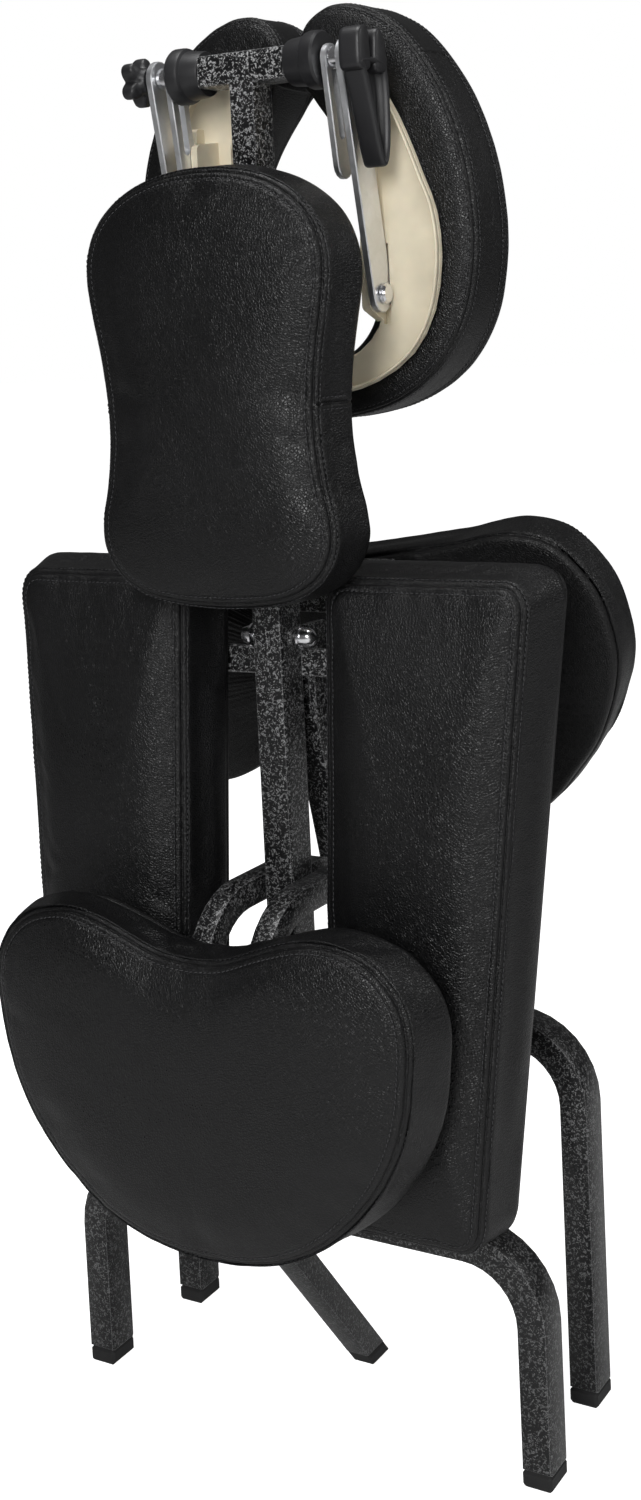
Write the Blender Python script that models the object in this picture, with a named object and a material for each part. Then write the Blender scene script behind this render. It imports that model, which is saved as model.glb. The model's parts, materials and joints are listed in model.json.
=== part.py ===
"""Folding kneeling massage chair, modelled folded and standing on its feet.

Metres, +Z up, +X to the side, -Y the side that the sitter uses, floor at z = 0.
Every object is one solid piece of the chair. Lengths below are in millimetres
and are turned into metres by MM.
"""

import math

import bmesh
import bpy
from mathutils import Vector

MM = 0.001

# Frame tube
TUBE_W = 26.0
TUBE_D = 34.0
WALL = 2.0
# Mast
MAST_HALF = 13.8
MAST_Y0, MAST_Y1 = 1.0, 36.0
MAST_TOP = 1010.0
# Front leg frame
FRONT_HALF, FRONT_TOP, BEND_R = 229.7, 204.0, 72.0
FRONT_Y0, FRONT_Y1 = 1.0, 35.0
# Rear leg frame
REAR_HALF, REAR_TOP = 217.6, 337.0
REAR_Y0, REAR_Y1 = 127.6, 161.6
CAP_H = 14.0
# Joint axes (y, z)
APEX = (20.0, 682.0)
SEAT_AXIS = (52.0, 468.0)
STRUT_AXIS = (-70.0, 241.0)
ARMREST_AXIS = (84.0, 752.0)
TBAR_AXIS = (19.5, 1151.0)
LEVER_AXIS = (19.5, 1165.0)
# Knee pads lean, millimetres of y per millimetre of z
KNEE_LEAN = 0.0855
# Middle of the chair's depth
MIDDLE_Y = 37.5
ARMREST_TILT = math.radians(15.0)
STRUT_TILT = math.radians(39.35)


def clear_scene():
    for obj in list(bpy.data.objects):
        bpy.data.objects.remove(obj, do_unlink=True)


def material(name, colour, rough, metal):
    mat = bpy.data.materials.get(name)
    if mat is None:
        mat = bpy.data.materials.new(name)
        mat.use_nodes = True
        shader = mat.node_tree.nodes["Principled BSDF"]
        shader.inputs["Base Color"].default_value = (*colour, 1.0)
        shader.inputs["Roughness"].default_value = rough
        shader.inputs["Metallic"].default_value = metal
    return mat


STEEL = ("hammertone_steel", (0.06, 0.06, 0.065), 0.4, 0.6)
VINYL = ("black_vinyl", (0.012, 0.012, 0.013), 0.45, 0.0)
BOARD = ("black_board", (0.03, 0.03, 0.03), 0.8, 0.0)
PLASTIC = ("black_plastic", (0.02, 0.02, 0.022), 0.5, 0.0)
CREAM = ("cream_plastic", (0.80, 0.74, 0.60), 0.45, 0.0)
ALU = ("aluminium_bar", (0.80, 0.81, 0.82), 0.35, 1.0)
CHROME = ("chrome", (0.75, 0.75, 0.77), 0.12, 1.0)
RUBBER = ("black_rubber", (0.015, 0.015, 0.015), 0.85, 0.0)


def finish_mesh(name, bm, mat=None, smooth=False, origin=(0, 0, 0)):
    """bmesh in millimetres -> object in metres with its origin at `origin` (mm)."""
    bmesh.ops.remove_doubles(bm, verts=bm.verts, dist=1e-4)
    bmesh.ops.recalc_face_normals(bm, faces=bm.faces)
    move = Vector(origin)
    for v in bm.verts:
        v.co = (v.co - move) * MM
    mesh = bpy.data.meshes.new(name)
    bm.to_mesh(mesh)
    bm.free()
    for p in mesh.polygons:
        p.use_smooth = smooth
    obj = bpy.data.objects.new(name, mesh)
    obj.location = move * MM
    bpy.context.scene.collection.objects.link(obj)
    if mat:
        mesh.materials.append(material(*mat))
    return obj


def place(axis, u, v, w):
    """Outline coordinates (u, v) and depth w as a point. axis is the extrusion axis."""
    return {"X": (w, u, v), "Y": (u, w, v), "Z": (u, v, w)}[axis]


def prism_bm(points, axis, a, b, bevel=0.0, segs=1):
    bm = bmesh.new()
    low = [bm.verts.new(place(axis, u, v, a)) for u, v in points]
    high = [bm.verts.new(place(axis, u, v, b)) for u, v in points]
    caps = [bm.faces.new(low), bm.faces.new(high)]
    n = len(points)
    for i in range(n):
        j = (i + 1) % n
        bm.faces.new((low[i], low[j], high[j], high[i]))
    bmesh.ops.recalc_face_normals(bm, faces=bm.faces)
    if bevel:
        edges = list({e for f in caps for e in f.edges})
        bmesh.ops.bevel(bm, geom=edges, offset=bevel, segments=segs, profile=0.5, affect="EDGES", clamp_overlap=True)
    return bm


def prism(name, points, axis, a, b, mat=None, bevel=0.0, segs=1, smooth=False):
    return finish_mesh(name, prism_bm(points, axis, a, b, bevel, segs), mat, smooth)


def rect(u0, u1, v0, v1):
    return [(u0, v0), (u1, v0), (u1, v1), (u0, v1)]


def box(name, x0, x1, y0, y1, z0, z1, mat=None, bevel=0.0, segs=1):
    bm = prism_bm(rect(x0, x1, y0, y1), "Z", z0, z1)
    if bevel:
        bmesh.ops.bevel(bm, geom=list(bm.edges), offset=bevel, segments=segs, profile=0.5, affect="EDGES", clamp_overlap=True)
    return finish_mesh(name, bm, mat)


def circle(cu, cv, r, n=24, start=0.0):
    return [(cu + r * math.cos(start + 2 * math.pi * i / n), cv + r * math.sin(start + 2 * math.pi * i / n)) for i in range(n)]


def cyl(name, axis, cu, cv, r, a, b, mat=None, n=24, bevel=0.0):
    return finish_mesh(name, prism_bm(circle(cu, cv, r, n), axis, a, b, bevel), mat, True)


def lathe_x(name, profile, cy, cz, mat=None, n=28):
    """profile: (x, r) pairs from one end to the other, both ends on the axis or capped."""
    bm = bmesh.new()
    rings = []
    for x, r in profile:
        rings.append([bm.verts.new((x, cy + r * math.cos(2 * math.pi * i / n), cz + r * math.sin(2 * math.pi * i / n))) for i in range(n)])
    for a, b in zip(rings, rings[1:]):
        for i in range(n):
            j = (i + 1) % n
            bm.faces.new((a[i], a[j], b[j], b[i]))
    bm.faces.new(rings[0])
    bm.faces.new(rings[-1])
    return finish_mesh(name, bm, mat, True)


def arc(cu, cv, r, a0, a1, n):
    """Points on an arc, angles in degrees, both ends included."""
    return [(cu + r * math.cos(math.radians(a0 + (a1 - a0) * i / n)), cv + r * math.sin(math.radians(a0 + (a1 - a0) * i / n))) for i in range(n + 1)]


def arch(half, top, radius, width, bottom, n=8):
    """Band of an inverted U in (x, z)."""
    outer = [(half, bottom)] + arc(half - radius, top - radius, radius, 0, 90, n) + arc(-(half - radius), top - radius, radius, 90, 180, n) + [(-half, bottom)]
    h, t, r = half - width, top - width, radius - width
    inner = [(h, bottom)] + arc(h - r, t - r, r, 0, 90, n) + arc(-(h - r), t - r, r, 90, 180, n) + [(-h, bottom)]
    return outer + inner[::-1]


def smooth_loop(points, per=3):
    """Closed Catmull-Rom curve through the points."""
    out = []
    n = len(points)
    for i in range(n):
        p0, p1, p2, p3 = (points[(i + k - 1) % n] for k in range(4))
        for s in range(per):
            t = s / per
            out.append(tuple(0.5 * (2 * b + (c - a) * t + (2 * a - 5 * b + 4 * c - d) * t * t + (3 * b - a - 3 * c + d) * t ** 3) for a, b, c, d in zip(p0, p1, p2, p3)))
    return out


def mirrored(half):
    """Closed outline from its right half, listed from the bottom centre to the top centre."""
    return half + [(-x, z) for x, z in half[::-1] if x > 1e-6]


def rounded(corners, n=4):
    """Polygon with rounded corners: (u, v, radius) in order."""
    out = []
    m = len(corners)
    for i, (u, v, r) in enumerate(corners):
        p = Vector((u, v))
        if r <= 0:
            out.append((u, v))
            continue
        a = (Vector(corners[i - 1][:2]) - p).normalized()
        b = (Vector(corners[(i + 1) % m][:2]) - p).normalized()
        half = a.angle(b) / 2
        reach = r / math.tan(half)
        centre = p + (a + b).normalized() * (r / math.sin(half))
        start = p + a * reach - centre
        end = p + b * reach - centre
        turn = math.atan2(start.x * end.y - start.y * end.x, start.dot(end))
        for k in range(n + 1):
            t = turn * k / n
            out.append((centre.x + start.x * math.cos(t) - start.y * math.sin(t), centre.y + start.x * math.sin(t) + start.y * math.cos(t)))
    return out


def combine(obj, other, how):
    """Applies a Boolean with EXACT and removes the other object."""
    mod = obj.modifiers.new(how, "BOOLEAN")
    mod.operation = how
    mod.solver = "EXACT"
    mod.object = other
    bpy.context.view_layer.update()
    graph = bpy.context.evaluated_depsgraph_get()
    mesh = bpy.data.meshes.new_from_object(obj.evaluated_get(graph))
    obj.modifiers.clear()
    old = obj.data
    mats = [m for m in old.materials]
    obj.data = mesh
    mesh.materials.clear()
    for m in mats:
        mesh.materials.append(m)
    for p in mesh.polygons:
        p.material_index = 0
    bpy.data.meshes.remove(old)
    bpy.data.objects.remove(other, do_unlink=True)
    return obj


def union(obj, *others):
    for other in others:
        combine(obj, other, "UNION")
    return obj


def minus(obj, *others):
    for other in others:
        combine(obj, other, "DIFFERENCE")
    return obj


def tilt_about(obj, y, z, angle):
    """Turns the object's mesh about the X direction through (y, z)."""
    c, s = math.cos(angle), math.sin(angle)
    for v in obj.data.vertices:
        dy, dz = v.co.y - y * MM, v.co.z - z * MM
        v.co.y = y * MM + dy * c - dz * s
        v.co.z = z * MM + dy * s + dz * c
    return obj


clear_scene()

# ---------------------------------------------------------------- main frame
FH = FRONT_HALF
frame = prism("main_frame", arch(FH, FRONT_TOP, BEND_R, TUBE_W, CAP_H + 0.3), "Y", FRONT_Y0, FRONT_Y1, STEEL, 3.0, 2)
mast = prism("_mast", [(x, y) for x, y in rounded([(-MAST_HALF, MAST_Y0, 3), (MAST_HALF, MAST_Y0, 3), (MAST_HALF, MAST_Y1, 3), (-MAST_HALF, MAST_Y1, 3)], 2)], "Z", 189.3, MAST_TOP)
upper_cross = box("_uc", -214, 214, 33.2, 38.4, 646, 670, bevel=1.2)
lower_cross = box("_lc", -214, 214, 2.6, 8.4, 288, 312, bevel=1.2)
seat_lug = prism("_sl", rounded([(33, 452, 2), (66, 452, 10), (66, 484, 10), (33, 484, 2)], 3), "X", -12.5, 12.5)
arm_lug = prism("_al", rounded([(33, 740, 2), (98, 740, 10), (98, 764, 10), (33, 764, 2)], 3), "X", -12.5, 12.5)
union(frame, mast, upper_cross, lower_cross, seat_lug, arm_lug)
minus(
    frame,
    prism("_c1", arch(FH - WALL, FRONT_TOP - WALL, BEND_R - WALL, TUBE_W - 2 * WALL, CAP_H - 20), "Y", FRONT_Y0 + WALL, FRONT_Y1 - WALL),
    box("_c2", -12.0, 12.0, 2.8, 34.2, 216, 1020),
    cyl("_c3", "X", SEAT_AXIS[0], SEAT_AXIS[1], 5.3, -30, 30, n=16),
    cyl("_c4", "X", ARMREST_AXIS[0], ARMREST_AXIS[1], 4.3, -30, 30, n=16),
    cyl("_c5", "X", APEX[0], APEX[1], 5.3, -30, 30, n=16),
)


def foot_cap(name, x, y0, y1):
    """Plug with a flat sole, pushed into a leg's open end."""
    cap = box(name, x - 13, x + 13, y0, y1, 0, CAP_H, RUBBER, 2.5, 1)
    plug = box("_plug", x - 10.7, x + 10.7, y0 + WALL + 0.3, y1 - WALL - 0.3, 8, 34)
    return union(cap, plug)


foot_cap("front_foot_cap_left", -(FH - 13), FRONT_Y0, FRONT_Y1)
foot_cap("front_foot_cap_right", FH - 13, FRONT_Y0, FRONT_Y1)

KNEE = [(54, 214, 22), (215, 216, 26), (262, 748, 24), (54, 748, 24)]


def lean(obj, ref_z, slope):
    for v in obj.data.vertices:
        v.co.y += (v.co.z - ref_z * MM) * slope
    return obj


def flare(obj, cx, y_back, y_front, at_back, at_front, base_z=0.0, drop=0.0):
    """A boxed cushion is wider at its board than at its face panel."""
    for v in obj.data.vertices:
        t = (y_back - v.co.y / MM) / (y_back - y_front)
        v.co.x = (cx + (v.co.x / MM - cx) * (at_back + (at_front - at_back) * t)) * MM
        v.co.z -= (v.co.z - base_z * MM) * drop * t
    return obj


for side, sx in (("left", -1), ("right", 1)):
    outline = [(sx * x, z) for x, z in rounded(KNEE, 4)]
    inset = [(sx * x, z) for x, z in rounded([(66, 228, 14), (205, 230, 16), (248, 738, 14), (66, 738, 14)], 3)]
    pad = prism("knee_pad_" + side, outline, "Y", -25.0, 31.0, VINYL, 9.0, 2, True)
    board = prism("knee_board_" + side, inset, "Y", 31.4, 39.4, BOARD, 1.0, 1)
    flare(pad, sx * 150, 31.0, -25.0, 1.0, 0.83, 214.0, 0.02)
    # Both lean with the knee rest: y falls as z falls.
    lean(pad, 748, KNEE_LEAN)
    lean(board, 748, KNEE_LEAN)

# Apex bolt with hex head, washers and dome nut
bolt = lathe_x("apex_bolt", [(-32.5, 7.0), (-26, 8.8), (-24.6, 8.8), (-24.5, 10.5), (-22.6, 10.5), (-22.5, 5.0), (22.5, 5.0), (22.6, 10.5), (24.5, 10.5), (24.6, 8.6), (31.0, 8.4), (35, 6.4), (37.5, 2.5)], APEX[0], APEX[1], CHROME, 16)
seat_shaft = lathe_x("seat_pivot_shaft", [(-43, 7), (-38.6, 7.5), (-38.5, 5.0), (38.5, 5.0), (38.6, 7.5), (43, 7)], SEAT_AXIS[0], SEAT_AXIS[1], CHROME, 16)
arm_pin = lathe_x("armrest_pivot_pin", [(-25, 6), (-19.8, 6.5), (-19.7, 4.0), (19.7, 4.0), (19.8, 6.5), (25, 6)], ARMREST_AXIS[0], ARMREST_AXIS[1], CHROME, 16)

# Clamp collar that guides the head post at the mast's top end
collar = prism("mast_collar", rounded([(-18, -3, 5), (18, -3, 5), (18, 40.5, 5), (-18, 40.5, 5)], 3), "Z", 994, 1022, PLASTIC, 1.5, 1)
minus(
    collar,
    box("_k1", -14.1, 14.1, 0.7, 36.3, 980, 1010.3),
    box("_k2", -12.2, 12.2, 2.5, 34.5, 980, 1040),
)

# ---------------------------------------------------------------- rear leg frame
rear = prism("rear_leg_frame", arch(REAR_HALF, REAR_TOP, BEND_R, TUBE_W, CAP_H + 0.3), "Y", REAR_Y0, REAR_Y1, STEEL, 3.0, 2)
post_low, post_high = (144.6, 322.0), (56.0, 654.0)
dy, dz = post_high[0] - post_low[0], post_high[1] - post_low[1]
length = math.hypot(dy, dz)
ny, nz = dz / length, -dy / length
half = 14.0
post_outline = [
    (post_low[0] - half * ny, post_low[1] - half * nz),
    (post_low[0] + half * ny, post_low[1] + half * nz),
    (post_high[0] + half * ny, post_high[1] + half * nz),
    (post_high[0] - half * ny, post_high[1] - half * nz),
]
post = prism("_post", post_outline, "X", -13.0, 13.0, bevel=3.0, segs=2)
union(rear, post)
yoke = [(10, 674.5, 6), (44, 673.5, 3), (46, 616, 5), (78, 616, 5), (70, 690, 9), (10, 690, 7)]
for x0, x1 in ((-18.6, -12.5), (12.5, 18.6)):
    union(rear, prism("_y", rounded(yoke, 3), "X", x0, x1))
minus(
    rear,
    # Running clearance beside the mast
    box("_m", -14.6, 14.6, -5, 38.9, 600, 720),
    box("_m2", -14.6, 14.6, 30, 100, 661, 720),
    prism("_v", arch(REAR_HALF - WALL, REAR_TOP - WALL, BEND_R - WALL, TUBE_W - 2 * WALL, CAP_H - 20), "Y", REAR_Y0 + WALL, REAR_Y1 - WALL),
    cyl("_h", "X", APEX[0], APEX[1], 5.3, -30, 30, n=16),
)
foot_cap("rear_foot_cap_left", -(REAR_HALF - 13), REAR_Y0, REAR_Y1)
foot_cap("rear_foot_cap_right", REAR_HALF - 13, REAR_Y0, REAR_Y1)

# ---------------------------------------------------------------- seat
outer = [(66, 480)] + arc(-16, 408, 72, 90, 180, 8) + [(-88, 226)]
inner = [(66, 456)] + arc(-16, 408, 48, 90, 180, 8) + [(-64, 226)]
band = outer + inner[::-1]
fork = prism("seat_fork", band, "X", -37.5, -17.5, STEEL, 3.0, 2)
right_arm = prism("_ra", band, "X", 17.5, 37.5, bevel=3.0, segs=2)
cross = box("_cb", -30, 30, -86, -66, 340, 360, bevel=2.0)
union(fork, right_arm, cross)
minus(
    fork,
    cyl("_f1", "X", SEAT_AXIS[0], SEAT_AXIS[1], 5.3, -60, 60, n=16),
    cyl("_f2", "X", STRUT_AXIS[0] - 6, STRUT_AXIS[1], 4.3, -60, 60, n=16),
)
SEAT_HALF = [(0, 207), (34, 209), (68, 217), (104, 234), (136, 259), (163, 291), (181, 323), (192, 356), (196, 386), (198, 412), (194, 437), (182, 457), (163, 473), (136, 482), (110, 483), (84, 477), (55, 467), (30, 458), (0, 455)]
seat_outline = smooth_loop(mirrored(SEAT_HALF), 2)
flare(prism("seat_pad", seat_outline, "Y", -147.0, -99.0, VINYL, 10.0, 2, True), 0, -99.0, -147.0, 1.07, 0.98)
seat_board_half = [(0, 224), (60, 232), (120, 264), (160, 312), (180, 370), (184, 410), (170, 446), (136, 466), (100, 466), (55, 450), (0, 440)]
prism("seat_board", smooth_loop(mirrored(seat_board_half), 2), "Y", -98.6, -88.4, BOARD, 1.0, 1)
lathe_x("strut_pivot_pin", [(-44, 5.5), (-38.6, 6), (-38.5, 4.0), (38.5, 4.0), (38.6, 6), (44, 5.5)], STRUT_AXIS[0] - 6, STRUT_AXIS[1], CHROME, 16)

# ---------------------------------------------------------------- seat strut
SY, SZ = STRUT_AXIS[0] - 6, STRUT_AXIS[1]
ty, tz = math.sin(STRUT_TILT), -math.cos(STRUT_TILT)
py, pz = math.cos(STRUT_TILT), math.sin(STRUT_TILT)
reach = (SZ - 14.3) / math.cos(STRUT_TILT)
HT = 11.5
k = HT * math.tan(STRUT_TILT)
bottom_b = (SY + (reach + k) * ty + HT * py, 14.3)
bottom_a = (SY + (reach - k) * ty - HT * py, 14.3)
low_side = math.degrees(math.atan2(-pz, -py))
head = arc(SY, SZ, HT, low_side, low_side - 180, 8)
strut = prism("seat_strut", head + [bottom_b, bottom_a], "X", -12.0, 12.0, STEEL, 2.5, 2)
minus(strut, cyl("_s1", "X", SY, SZ, 4.3, -40, 40, n=16))
slope = math.tan(STRUT_TILT)
cap_a = (bottom_a[0] + 0.3 * slope, 14.0)
cap_b = (bottom_b[0] + 0.3 * slope, 14.0)
prism("strut_foot_cap", [cap_a, (cap_a[0] + 13 * slope, 1.0), (cap_b[0] + 13 * slope, 1.0), cap_b], "X", -12.0, 12.0, RUBBER, 2.5, 1)

# ---------------------------------------------------------------- armrest
AY, AZ = ARMREST_AXIS
arm_half = [(0, -206), (50, -210), (98, -228), (135, -249), (165, -256), (188, -240), (208, -216), (231, -186), (248, -151), (258, -118), (260, -90), (253, -52), (238, -25), (218, -5), (196, 3), (172, 5), (148, 1), (119, -6), (62, -15), (21, -21), (0, -21)]
arm_outline = [(x, AZ + s) for x, s in smooth_loop(mirrored(arm_half), 2)]
tilt_about(prism("armrest_pad", arm_outline, "Y", AY + 24.0, AY + 77, VINYL, 10.0, 2, True), AY, AZ, ARMREST_TILT)
board_half = [(0, -190), (60, -196), (110, -216), (150, -240), (178, -232), (205, -200), (232, -155), (244, -110), (243, -78), (234, -48), (216, -24), (194, -13), (165, -11), (120, -20), (60, -31), (0, -36)]
tilt_about(prism("armrest_board", [(x, AZ + s) for x, s in smooth_loop(mirrored(board_half), 2)], "Y", AY + 14.0, AY + 23.6, BOARD, 1.0, 1), AY, AZ, ARMREST_TILT)
bracket = box("armrest_bracket", -70, 70, AY + 9.5, AY + 13.6, AZ - 70, AZ + 4 - 22, STEEL, 1.0)
for x0, x1 in ((-19.0, -13.2), (13.2, 19.0)):
    union(bracket, prism("_ck", rounded([(AY - 10, AZ - 10, 8), (AY + 12, AZ - 44, 2), (AY + 12, AZ + 10, 4), (AY - 10, AZ + 10, 8)], 3), "X", x0, x1))
minus(bracket, cyl("_b1", "X", AY, AZ, 4.3, -40, 40, n=16))
tilt_about(bracket, AY, AZ, ARMREST_TILT)

# ---------------------------------------------------------------- chest pad
sleeve = prism("chest_bracket", rounded([(-18.4, -3.4, 3), (18.4, -3.4, 3), (18.4, 40.6, 3), (-18.4, 40.6, 3)], 2), "Z", 850, 930, STEEL)
plate = box("_cp", -60, 60, -15.4, -10.4, 800, 980, bevel=1.0)
union(sleeve, plate, box("_cq", -17, 17, -12, -1.5, 852, 928))
minus(sleeve, box("_m1", -14.3, 14.3, 0.5, 36.5, 840, 940), cyl("_m2", "Y", 0, 890, 4.4, 30, 60, n=16))
CHEST_HALF = [(0, 716), (45, 719), (76, 727), (99, 743), (111, 765), (112, 789), (106, 818), (102, 851), (102, 885), (106, 919), (113, 958), (116, 988), (111, 1013), (97, 1035), (72, 1054), (40, 1065), (0, 1069)]
flare(prism("chest_pad", smooth_loop(mirrored(CHEST_HALF), 2), "Y", -79.0, -26.2, VINYL, 9.0, 2, True), 0, -26.2, -79.0, 1.065, 0.965)
chest_board_half = [(0, 753), (60, 754), (88, 762), (96, 785), (92, 815), (88, 850), (88, 885), (94, 930), (102, 975), (96, 1012), (70, 1036), (0, 1050)]
prism("chest_board", smooth_loop(mirrored(chest_board_half), 2), "Y", -25.8, -15.8, BOARD, 1.0, 1)
knob = finish_mesh(
    "chest_lock_knob",
    prism_bm([((15 + 2.2 * math.cos(6 * t)) * math.cos(t), 890 + (15 + 2.2 * math.cos(6 * t)) * math.sin(t)) for t in [2 * math.pi * i / 48 for i in range(48)]], "Y", 46, 60, 2.0, 1),
    PLASTIC, True)
union(knob, cyl("_st", "Y", 0, 890, 4.0, 37.2, 50, n=16))

# ---------------------------------------------------------------- head post
post = prism("head_post", rounded([(-11.7, 3.1, 2.5), (11.7, 3.1, 2.5), (11.7, 33.9, 2.5), (-11.7, 33.9, 2.5)], 2), "Z", 780, 1142, STEEL)
tbar = prism("_tb", rounded([(3.0, 1138, 3), (36.0, 1138, 3), (36.0, 1164, 3), (3.0, 1164, 3)], 2), "X", -41, 41)
union(post, tbar)
minus(
    post,
    box("_p1", -9.8, 9.8, 5.0, 32.0, 760, 1136.5),
    box("_p2", -60, 60, 5.0, 34.0, 1140, 1162),
)
TY, TZ = TBAR_AXIS
for side, sx in (("left", -1), ("right", 1)):
    prof = [(41.3, 18.4), (43, 19.0), (57, 20.4), (58.5, 22.6), (61, 23.4), (69, 23.4), (71, 22.0)]
    bushing = lathe_x("tbar_bushing_" + side, [(sx * x, r) for x, r in prof], TY, TZ, PLASTIC)
    x0, x1 = sorted((sx * 26, sx * 42))
    union(bushing, box("_bp", x0, x1, 5.4, 33.6, 1140.4, 1161.6))
    minus(bushing, cyl("_bh", "X", TY, TZ, 4.3, -100, 100, n=16))
lathe_x("cradle_clamp_rod", [(-106, 4.0), (97.4, 4.0)], TY, TZ, CHROME, 16)

# Pull pin on the collar, its tip just clear of the head post
pin = lathe_x("head_lock_pin", [(12.2, 3.5), (13.2, 4.0), (26, 4.0), (26.1, 7.5), (28, 8.5), (38, 8.5), (40, 7.0)], 20.0, 1004, PLASTIC, 16)
minus(collar, cyl("_k3", "X", 20.0, 1004, 4.3, 5, 40, n=16))
minus(frame, cyl("_k4", "X", 20.0, 1004, 4.3, 8, 40, n=16))

# ---------------------------------------------------------------- face cradle
BOLT_Y, BOLT_Z = 58.0, 963.0
swing = math.atan2(BOLT_Y - TY, TZ - BOLT_Z)
reach = math.hypot(BOLT_Y - TY, TZ - BOLT_Z)


def stadium(hw, length, n=8):
    """Flat bar outline hanging from the clamp rod: (y, z) before it is swung."""
    return arc(TY, TZ, hw, 0, 180, n) + arc(TY, TZ - length, hw, 180, 360, n)


for side, sx in (("left", -1), ("right", 1)):
    x0, x1 = sorted((sx * 88.0, sx * 94.0))
    arm = prism("cradle_arm_" + side, stadium(15.5, reach), "X", x0, x1, ALU, 0.8, 1)
    minus(arm, cyl("_a1", "X", TY, TZ, 4.4, x0 - 5, x1 + 5, n=16), cyl("_a2", "X", TY, TZ - reach, 4.3, x0 - 5, x1 + 5, n=16))
    tilt_about(arm, TY, TZ, swing)
    x0, x1 = sorted((sx * 72.5, sx * 78.0))
    link = prism("cradle_link_" + side, stadium(12.0, 84.0), "X", x0, x1, ALU, 0.8, 1)
    slot = prism("_sl", arc(TY, TZ, 4.4, 0, 180, 6) + arc(TY, TZ - 60, 4.4, 180, 360, 6), "X", x0 - 5, x1 + 5)
    minus(link, slot)
    tilt_about(link, TY, TZ, swing * 0.82)
    # Lower bolt through the bar and the base's ear
    lathe_x("cradle_bolt_" + side, [(sx * 82.5, 4.0), (sx * 94.3, 4.0), (sx * 94.4, 8.5), (sx * 97.5, 8.5), (sx * 99.0, 7.0)], BOLT_Y, BOLT_Z, CHROME, 16)
    lathe_x("rod_washer_" + side, [(sx * 78.6, 9.5), (sx * 87.4, 9.5)], TY, TZ, CHROME, 16)
    minus(bpy.data.objects["rod_washer_" + side], cyl("_w", "X", TY, TZ, 4.4, -100, 100, n=16))

PLATE_OUT = [(0, 878), (42, 881), (78, 891), (112, 913), (133, 947), (141, 990), (138, 1028), (128, 1056), (114, 1092), (99, 1122), (80, 1146), (62, 1152)]
PLATE_IN = [(50, 1140), (50, 1108), (56, 1088), (68, 1068), (80, 1035), (86, 1000), (88, 962), (82, 936), (64, 917), (36, 906), (0, 903)]
half_ring = PLATE_OUT + PLATE_IN
ring = half_ring + [(-x, z) for x, z in half_ring[::-1] if x > 1e-6]


def c_shape(out, inn, per=2):
    """Closed outline of a ring that is open at the top: outer right half from the
    bottom to the tip and inner right half back to the bottom, then the left half."""
    right = out + inn
    path = right[:0]
    pts = [(-x, z) for x, z in out[::-1]][:-1] + out
    back = inn + [(-x, z) for x, z in inn[::-1]][1:]
    return smooth_loop(pts + back, per)


base = prism("cradle_base", c_shape(PLATE_OUT, PLATE_IN), "Y", 68.0, 75.0, CREAM, 1.2, 1)
for sx in (-1, 1):
    x0, x1 = sorted((sx * 80.0, sx * 87.6))
    # A long flange beside the bar, with the bolt near its lower end
    ear = prism("_ear", rounded([(46, 951, 5), (72, 940, 1), (72, 1112, 1), (56, 1112, 4), (46, 990, 5)], 3), "X", x0, x1)
    x2, x3 = sorted((sx * 80.0, sx * 116.0))
    foot = box("_earf", x2, x3, 74.0, 78.3, 942, 984)
    x8, x9 = sorted((sx * 80.0, sx * 87.6))
    rail = box("_rail", x8, x9, 68.0, 75.0, 960, 1112)
    union(base, ear, foot, rail)
    # Pocket behind the bar's lower end
    x10, x11 = sorted((sx * 87.7, sx * 94.8))
    minus(base, box("_pocket", x10, x11, 55, 73.8, 938, 1004))
    # Flange that ties the short link to the base
    x4, x5 = sorted((sx * 66.0, sx * 72.1))
    tab = prism("_tab", rounded([(34, 1072, 6), (70, 1064, 1), (70, 1100, 1), (34, 1096, 6)], 3), "X", x4, x5)
    x6, x7 = sorted((sx * 54.0, sx * 76.0))
    tabf = box("_tabf", x6, x7, 68.0, 75.0, 1068, 1104)
    union(base, tab, tabf)
    minus(base, cyl("_eh", "X", BOLT_Y, BOLT_Z, 4.3, -120, 120, n=16))

CUSH_OUT = [(0, 858), (46, 861), (92, 874), (130, 900), (156, 940), (167, 985), (168, 1030), (160, 1080), (144, 1125), (122, 1162), (98, 1188), (70, 1203), (46, 1207), (26, 1201), (13, 1186), (9, 1164)]
CUSH_IN = [(13, 1142), (22, 1122), (34, 1104), (47, 1084), (60, 1056), (69, 1020), (73, 985), (71, 955), (60, 930), (38, 914), (0, 909)]
prism("face_cushion", c_shape(CUSH_OUT, CUSH_IN, 1), "Y", 79.0, 158.0, VINYL, 12.0, 2, True)

# ---------------------------------------------------------------- cam lever and star knob
lever = prism("cam_lever", [(-8, 1166), (10, 1171), (30, 1168), (38, 1155), (40, 1120), (39, 1085), (36, 1068), (30, 1063), (23, 1066), (14, 1088), (2, 1125), (-8, 1150)], "X", 98.0, 118.0, PLASTIC, 3.0, 2)
minus(lever, prism("_lv", [(22, 1136), (32, 1134), (33, 1096), (31, 1078), (26, 1080), (16, 1112)], "X", 108.0, 125.0))
star = prism("cradle_star_knob", [(TY + (18.5 + 3.0 * math.cos(5 * t)) * math.cos(t), TZ + (18.5 + 3.0 * math.cos(5 * t)) * math.sin(t)) for t in [2 * math.pi * i / 50 for i in range(50)]], "X", -118.0, -98.5, PLASTIC, 3.0, 1, True)
minus(star, cyl("_sh", "X", TY, TZ, 4.4, -108, -90, n=16))

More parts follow.
